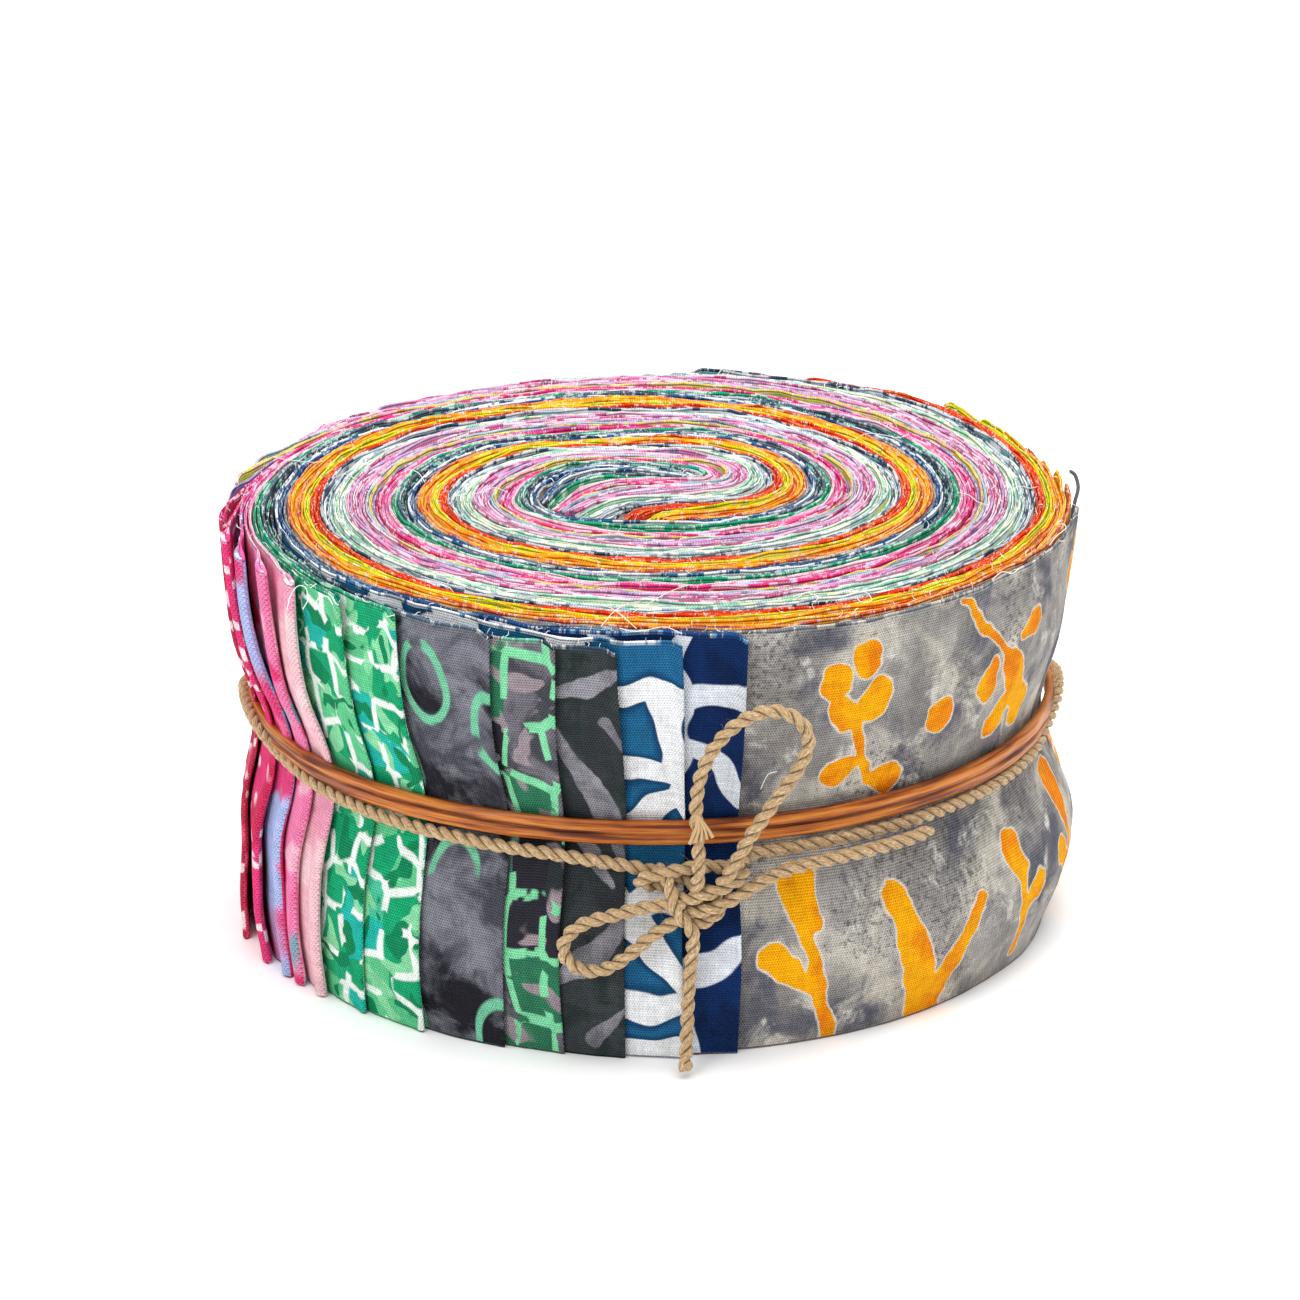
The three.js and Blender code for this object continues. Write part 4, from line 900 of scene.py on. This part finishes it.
def strip_part(m, line, run, shown, s, levels, panel):
    """Rows of closed sections for one stretch of a strip, and the place of each point on the flat cloth."""
    row = STRIPS[m]
    here, onward, earlier = (np.column_stack([np.interp(at, run, line[:, k]) for k in range(2)])
                             for at in (s, s + 0.6, np.maximum(s - 0.6, 0)))
    ahead = onward - earlier
    ahead = ahead / np.maximum(np.linalg.norm(ahead, axis=1, keepdims=True), 1e-9)
    left = np.column_stack([-ahead[:, 1], ahead[:, 0]])
    radius = np.linalg.norm(here, axis=1)
    rng = np.random.default_rng(100 + m)
    # The two cut edges of the doubled strip wander a little, with a groove between them.
    height = STRIP_WIDTH_MM + rng.uniform(-0.55, 0.35) + 0.3 * ripple(s, 0 * s, 200 + m, 16)
    height = height + 0.16 * ripple(s, 0 * s, 300 + m, 4)
    height = height - row["drop"] * smoothstep(-s, -60, -15)
    height = height - 0.9 * np.exp(-((s / 1.1) ** 2))
    back = height + rng.uniform(-0.35, 0.25) + 0.2 * ripple(s, 0 * s, 400 + m, 6)
    n = len(levels)
    across = np.array([0.5] * n + [0.5, 0.42, 0.25, 0.09, 0.0, -0.09, -0.25, -0.42, -0.5] + [-0.5] * n
                      + [-0.3, 0.3])
    sunk = np.array([0.32, 0.07, 0.0, 0.08, 0.42, 0.08, 0.0, 0.07, 0.32])
    z = np.zeros((len(s), len(across)))
    z[:, :n] = levels[None, :] * (height / STRIP_WIDTH_MM)[:, None]
    z[:, n : n + 5] = height[:, None] - sunk[None, :5]
    z[:, n + 5 : n + 9] = back[:, None] - sunk[None, 5:]
    z[:, n + 9 : 2 * n + 9] = levels[::-1][None, :] * (back / STRIP_WIDTH_MM)[:, None]
    z[:, 2 * n + 9 :] = 0.02
    # Drawn in at the waist, and lifted off the roll towards the end of the strip.
    deg = np.degrees(np.arctan2(here[:, 1], here[:, 0])) % 360
    hold = smoothstep(radius, 40, 62)[:, None]
    waist = np.exp(-(((z - WAIST_HEIGHT_MM) / WAIST_REACH_MM) ** 2))
    tight = np.exp(-(((z - WAIST_HEIGHT_MM) / 7) ** 2))
    near_end = smoothstep(-s, -26, 0)[:, None]
    lifted = np.interp(s, run, shown) * (row["lift"] - 0.5)
    out = lifted[:, None] * np.interp(z, LIFT_BY_HEIGHT["z"], LIFT_BY_HEIGHT["share"])
    pinch = np.interp(deg, OUTSIDE["deg"], OUTSIDE["mm"]) - HELD_RADIUS_MM
    out = out - pinch[:, None] * waist * hold
    # The foot swells and draws in again at the right, and tucks in at the left. The end flares out on top.
    right_side = np.clip(np.cos(np.radians(deg + 10)), 0, 1)[:, None]
    left_side = np.exp(-(((deg - 190) / 22) ** 2))[:, None]
    foot = 1.9 * np.exp(-(((z - 14) / 8) ** 2)) * right_side
    foot = foot - (0.6 + 1.4 * right_side**2) * np.exp(-((z / 5) ** 2))
    out = out + foot * hold
    out = out - 1.5 * (1 - smoothstep(z, 12, 24)) * left_side * hold
    out = out + row["flare"] * smoothstep(z, 46, 63.5) * smoothstep(-s, -14, 0)[:, None]
    # Slack between the turns, and small folds that run out from under the band.
    seen = smoothstep(-s, -(panel + 1), -(panel - 5))[:, None]
    off_waist = np.abs(z - WAIST_HEIGHT_MM)
    slack = 0.30 * (1 + ripple(s[:, None] + 0 * z, z, 700 + m, 20)) * smoothstep(off_waist, 5, 14)
    folds = 0.42 * smoothstep(ripple(s[:, None] + 0 * z, z * 0.06, 600 + m, 4.2), -0.2, 1.0)
    folds = folds * (1.25 * np.exp(-(((z - WAIST_HEIGHT_MM) / 13) ** 2)) - 0.75 * tight + 0.25)
    out = out + seen * (slack + folds)
    slide = (0.30 * ripple(0 * z, z, 800 + m, 16) + row["lean"] * (1 - z / STRIP_WIDTH_MM)) * near_end
    # The doubled cloth is 0.4 mm thick, nipped by the band, with a soft bulb at the fold of its end.
    thick = 0.40 * (1 - 0.12 * tight * hold) + 0.02 * ripple(s, 0 * s, 500 + m, 10)[:, None]
    roll = row["bulb"] * np.exp(-(((s - 0.8 * row["bulb"]) / (0.7 + 0.9 * row["bulb"])) ** 2))[:, None]
    thick = thick + roll * (1 - 0.72 * tight)
    round_end = np.clip(1 - s / (0.3 + 0.6 * row["bulb"]), 0, 1)
    thick = thick * np.sqrt(np.clip(1 - round_end**2, 0.004, 1))[:, None]
    points = here[:, None, :] + left[:, None, :] * (across[None, :] * thick)[:, :, None]
    outwards = np.sign((left * here).sum(1))[:, None, None]
    points = points + left[:, None, :] * (0.4 * roll * (1 - tight))[:, :, None] * outwards
    points = points - ahead[:, None, :] * slide[:, :, None]
    points = points + (here / np.maximum(radius, 1e-6)[:, None])[:, None, :] * out[:, :, None]
    top = np.where(across > -0.05, height[:, None], back[:, None])
    return np.dstack([points, np.maximum(z, 0.02)]), z * STRIP_WIDTH_MM / top


def closed_ribbon(name, parts, material):
    """One mesh of lofted parts, closed at both ends, with the flat place of the cloth at every corner."""
    points, quads, uvs = [], [], []
    closing, closing_uvs = [], []
    for rows, flat in parts:
        first = sum(len(p) for p in points)
        length, around = rows.shape[:2]
        i, j = np.meshgrid(np.arange(length - 1), np.arange(around), indexing="ij")
        j2 = (j + 1) % around
        here, ahead = first + i * around, first + (i + 1) * around
        quads.append(np.stack([here + j, here + j2, ahead + j2, ahead + j], -1).reshape(-1, 4))
        uvs.append(np.stack([flat[i, j], flat[i, j2], flat[i + 1, j2], flat[i + 1, j]], -2).reshape(-1, 8))
        half = (around - 3) // 2
        ladder = [[j, j + 1, 2 * half - j - 1, 2 * half - j] for j in range(half - 1)]
        ladder += [[half - 1, half, half + 1], [0, 2 * half, 2 * half + 1, 2 * half + 2]]
        for row, turn_over in ((0, True), (length - 1, False)):
            for corners in ladder:
                corners = corners[::-1] if turn_over else corners
                closing.append([first + row * around + c for c in corners])
                closing_uvs.append(np.concatenate([flat[row, c] for c in corners]))
        points.append(rows.reshape(-1, 3))
    quads, uvs = np.vstack(quads), np.vstack(uvs)
    mesh = bpy.data.meshes.new(name)
    mesh.from_pydata(np.vstack(points).tolist(), [], quads.tolist() + closing)
    corner_uvs = np.concatenate([uvs.ravel(), np.concatenate(closing_uvs)]).astype(np.float32)
    mesh.uv_layers.new(name="cloth").data.foreach_set("uv", corner_uvs)
    mesh.polygons.foreach_set("use_smooth", [True] * len(mesh.polygons))
    mesh.materials.append(material)
    return mesh


# Rows along a strip: close together round its end, wider over the part that shows, widest inside the roll.
ROUND_END_MM = [0.0, 0.05, 0.14, 0.28, 0.5, 0.8, 1.2, 1.7, 2.3]
PANEL_STEP_MM = 0.9
WIDE_PANEL_STEP_MM = 1.3
SHEET_STEP_MM = 2.3
UNDER_NEXT_MM = 3.0
# How far on the print is from one strip to the next, and from a strip's outer layer to its inner one.
PRINT_STEP_MM = 37.0
INNER_LAYER_MM = 611.0
top_lines = []
for m, row in enumerate(STRIPS):
    line, run, shown = strip_line(m)
    start = end_turns[m - 1] if m else OUTSIDE_FROM_DEG
    panel = math.radians(end_turns[m] - start) * ROLL_RADIUS_MM + UNDER_NEXT_MM
    step = PANEL_STEP_MM if panel < 30 else WIDE_PANEL_STEP_MM
    near = np.concatenate([ROUND_END_MM, np.arange(3.0, panel + 3, step)])
    far = np.append(np.arange(near[-1], run[-1] - 1, SHEET_STEP_MM), run[-1])
    parts = []
    for s, levels in ((near, PANEL_LEVELS), (far, SHEET_LEVELS)):
        rows, height_on_cloth = strip_part(m, line, run, shown, s, levels, panel)
        inner_layer = np.array([0.0] * (len(levels) + 5) + [INNER_LAYER_MM] * (len(levels) + 6))
        flat = np.stack([s[:, None] + inner_layer[None, :] + PRINT_STEP_MM * m, height_on_cloth], -1)
        parts.append((rows / 1000, flat))
        top_lines.append(rows[:, [len(levels) + 2, len(levels) + 6]])
    name = f"strip_{m + 1:02d}"
    strip = bpy.data.objects.new(name, closed_ribbon(name, parts, cotton[row["cloth"]]))
    bpy.context.scene.collection.objects.link(strip)
    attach(strip, "root")
    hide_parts("fabric_roll")

# Frayed cut edges: short ends of cotton yarn that the cutter left stand up and curl along the tops of the
# strips, most of them near the outside.
# Soft matt yarn, off-white. Its mix towards pale mauve reads a yarn attribute that nothing here stores.
yarn_material, tree = new_material("loose cotton yarn")
tint = add(tree, "ShaderNodeAttribute", attribute_name="yarn")
pale_yarn = mixed(tree, tint.outputs["Fac"], linear("#f2efe8"), linear("#c9bfc4"))
yarn_surface = add(tree, "ShaderNodeBsdfPrincipled",
                   {"Base Color": pale_yarn, "Roughness": 0.95, "Specular IOR Level": 0.1})
add(tree, "ShaderNodeOutputMaterial", {"Surface": yarn_surface})

yarn_end = curled_fibre("yarn_end", 5, 0.000045, 0.5, 0.00050, 0.00018, 2.6, 0.0010, 0.35)
fraying, given = group_of("frayed edge", "GeometryNodeTree",
                          {"Edge": "Geometry", "Share": 0.1, "Shortest": 0.35, "Longest": 1.6},
                          {"Fray": "Geometry"})
picked = add(fraying, "FunctionNodeRandomValue", {"Probability": given.outputs["Share"], "Seed": 21},
             data_type="BOOLEAN")
turned = add(fraying, "FunctionNodeRandomValue",
             {0: (-1.25, -1.25, 0.0), 1: (1.25, 1.25, 6.283), "Seed": 22}, data_type="FLOAT_VECTOR")
length = add(fraying, "FunctionNodeRandomValue",
             {2: given.outputs["Shortest"], 3: given.outputs["Longest"], "Seed": 23}, data_type="FLOAT")
yarn = add(fraying, "GeometryNodeObjectInfo", {"Object": yarn_end})
ends = add(fraying, "GeometryNodeInstanceOnPoints",
           {"Points": given.outputs["Edge"], "Selection": picked.outputs[3],
            "Instance": yarn.outputs["Geometry"], "Rotation": turned.outputs[0],
            "Scale": length.outputs[1]})
real = add(fraying, "GeometryNodeRealizeInstances", {"Geometry": ends})
painted = add(fraying, "GeometryNodeSetMaterial", {"Geometry": real, "Material": yarn_material})
add(fraying, "NodeGroupOutput", {"Fray": painted})

edge_points = np.vstack([rows.reshape(-1, 3) for rows in top_lines])
outer_edge = np.linalg.norm(edge_points[:, :2], axis=1) > 57
for name, chosen, share in (("frayed_edges_inner", ~outer_edge, 0.035),
                            ("frayed_edges_outer", outer_edge, 0.12)):
    edge_mesh = bpy.data.meshes.new(name)
    edge_mesh.from_pydata((edge_points[chosen] / 1000 - [0, 0, 0.00005]).tolist(), [], [])
    fray = made_by(fraying, edge_mesh, name, Share=share)
    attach(fray, "root")

# Loose threads: single cotton yarns that have pulled out of the weave. They lie curled over the top, where
# rise is how far each arches up, and one lies on the face.
LOOSE_THREADS = [
    {"at": [(-50.3, -53.5), (-50.1, -48.6), (-49.3, -45.3), (-48.2, -46.1), (-47.6, -50.2), (-48.1, -53.1)],
     "rise": 0.8},
    {"at": [(-46.5, -53.0), (-46.2, -49.8), (-45.1, -48.6), (-44.1, -51.1)], "rise": 0.5},
    {"at": [(-7.3, -51.1), (-5.4, -53.5), (-3.7, -57.2), (-2.0, -60.8)], "rise": 0.4},
    {"at": [(-6.8, -60.0), (-5.1, -55.5), (-3.2, -52.3), (-1.5, -49.8)], "rise": 0.7},
    {"at": [(-2.5, -54.3), (-0.1, -51.1), (2.4, -47.3), (4.6, -44.4), (5.9, -42.8)], "rise": 0.5},
    {"at": [(-4.2, -60.8), (-2.3, -62.6), (-0.1, -62.2), (1.8, -61.2), (3.4, -62.4), (4.2, -62.9)],
     "rise": 0.5},
    {"at": [(27.9, -46.9), (29.2, -46.5), (30.3, -48.2), (30.5, -51.1), (29.2, -51.1), (28.7, -48.6)],
     "rise": 0.6},
    {"at": [(20.3, -48.6), (21.6, -47.3), (23.2, -49.0), (22.3, -51.1)], "rise": 0.5},
    {"at": [(48.0, -40.7), (49.6, -38.1), (50.9, -39.0), (52.1, -36.0)], "rise": 0.4},
    {"at": [(57.2, -26.2), (58.4, -24.1), (59.9, -21.7), (59.8, -18.9), (58.7, -17.1)], "rise": 1.2},
    {"at": [(10.6, 57.2), (12.1, 60.2), (14.0, 59.5), (15.2, 57.2), (17.1, 59.5), (18.6, 61.0)], "rise": 1.8},
    {"at": [(30.9, 23.0), (33.2, 26.1), (35.9, 25.0), (38.0, 24.0), (39.8, 26.6)], "rise": 0.5},
    {"at": [(45.5, -1.8), (47.0, -3.7), (48.2, -7.0), (49.8, -7.9)], "rise": 0.4},
    {"at": [(53.5, -0.9), (55.0, 0.1), (56.4, -0.9), (57.7, 1.0)], "rise": 0.5},
    {"at": [(57.1, 17.0), (58.2, 21.0), (59.6, 21.5), (59.5, 18.0), (58.3, 16.0)], "rise": 1.5},
    {"at": [(-57.6, 15.5), (-55.6, 12.6), (-53.1, 11.1), (-50.9, 11.1), (-49.6, 13.1)], "rise": 0.8},
    {"at": [(-37.7, 7.2), (-36.3, 7.7), (-34.8, 5.8), (-33.8, 2.9)], "rise": 0.6},
    {"at": [(-29.8, -4.2), (-27.7, -3.7), (-25.4, -3.2), (-23.4, -0.4), (-21.6, -1.3)], "rise": 0.5},
    {"at": [(-15.9, 49.1), (-15.5, 51.4), (-15.2, 52.5)], "rise": 3.2},
    {"at": [(-47.8, 4.8), (-45.9, 5.8), (-44.2, 4.4)], "rise": 0.5},
    {"at": [(-11.9, 50.1), (-10.7, 53.1), (-8.9, 55.2), (-6.4, 57.3)], "rise": 3.6},
]
thread_lines = []
for row in LOOSE_THREADS:
    flat = np.array(row["at"])
    arch = np.sin(np.linspace(0.15, math.pi * 0.95, len(flat))) * row["rise"]
    thread_lines.append(smooth_route(np.column_stack([flat, STRIP_WIDTH_MM + 0.15 + arch]), 0.0006))
thread_lines.append(smooth_route([(15.2, -60.6, 40.0), (15.8, -60.9, 41.6), (16.3, -61.3, 42.6),
                                  (17.4, -61.6, 43.0)], 0.0006))
loose_yarn, given = group_of("loose thread", "GeometryNodeTree",
                             {"Route": "Geometry", "Thread Radius": 0.000065},
                            {"Thread": "Geometry"})
route = add(loose_yarn, "GeometryNodeMeshToCurve", {"Mesh": given.outputs["Route"]})
circle = add(loose_yarn, "GeometryNodeCurvePrimitiveCircle",
             {"Resolution": 5, "Radius": given.outputs["Thread Radius"]})
skin = add(loose_yarn, "GeometryNodeCurveToMesh",
           {"Curve": route, "Profile Curve": circle, "Fill Caps": True})
real = add(loose_yarn, "GeometryNodeRealizeInstances", {"Geometry": skin})
painted = add(loose_yarn, "GeometryNodeSetMaterial", {"Geometry": real, "Material": yarn_material})
add(loose_yarn, "NodeGroupOutput", {"Thread": painted})
loose = made_by(loose_yarn, route_mesh("loose_threads", thread_lines), "loose_threads")
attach(loose, "root")

# The cut end of one ply stands out of the upper loop in a small brush, and a frayed corner of cloth curls up
# at the right.
brush = []
for k in range(5):
    brush.append(smooth_route([(6.4, -66.3, 38.4), (6.2 + 0.4 * k, -66.9 - 0.1 * (k % 2), 36.6),
                               (5.3 + 0.8 * k, -67.2 - 0.15 * (k % 3), 34.5 + 0.25 * k)], 0.0005))
curl = smooth_route([(62.3, -4.2, 60.4), (62.9, -3.2, 62.8), (63.4, -2.2, 64.6), (63.0, -1.2, 66.2),
                     (62.2, -1.6, 67.0)], 0.0005)
for name, lines, radius, material, slot in (("cut_ply_end", brush, 0.00028, twine_material, "twine"),
                                            ("curled_corner", [curl], 0.00030, cotton["purple_grey"],
                                             "quilting_cotton")):
    end = made_by(loose_yarn, route_mesh(name, lines), name, **{"Thread Radius": radius})
    end.data.materials[0] = material
    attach(end, "root")

# Floor and studio light: a plain white sweep, a broad light overhead and a softer one from the left.
floor_material, tree = new_material("white sweep")
sweep = add(tree, "ShaderNodeBsdfPrincipled",
            {"Base Color": linear("#ffffff"), "Roughness": 0.9, "Specular IOR Level": 0.0})
add(tree, "ShaderNodeOutputMaterial", {"Surface": sweep})
floor_mesh = bpy.data.meshes.new("floor")
floor_mesh.from_pydata([(-6, -6, 0), (6, -6, 0), (6, 6, 0), (-6, 6, 0)], [], [(0, 1, 2, 3)])
floor_mesh.materials.append(floor_material)
floor = bpy.data.objects.new("floor", floor_mesh)
bpy.context.scene.collection.objects.link(floor)

world = bpy.data.worlds.new("studio")
bpy.context.scene.world = world
world.use_nodes = True
world.node_tree.nodes.clear()
light_all_round = add(world.node_tree, "ShaderNodeBackground",
                      {"Color": (1.0, 1.0, 1.0, 1.0), "Strength": 0.62})
add(world.node_tree, "ShaderNodeOutputWorld", {"Surface": light_all_round})
for name, place, size, power in (("overhead", (0.15, 0.25, 1.5), 1.6, 30.0),
                                 ("key", (-0.75, -0.9, 0.8), 0.6, 5.0)):
    lamp = bpy.data.lights.new(name, "AREA")
    lamp.shape = "SQUARE"
    lamp.size = size
    lamp.energy = power
    light = bpy.data.objects.new(name, lamp)
    light.location = place
    light.rotation_euler = (Vector((0, 0, 0.03)) - Vector(place)).to_track_quat("-Z", "Y").to_euler()
    bpy.context.scene.collection.objects.link(light)
bpy.context.scene.view_settings.view_transform = "Standard"
bpy.context.scene.view_settings.look = "None"
bpy.context.scene.view_settings.exposure = 0.0
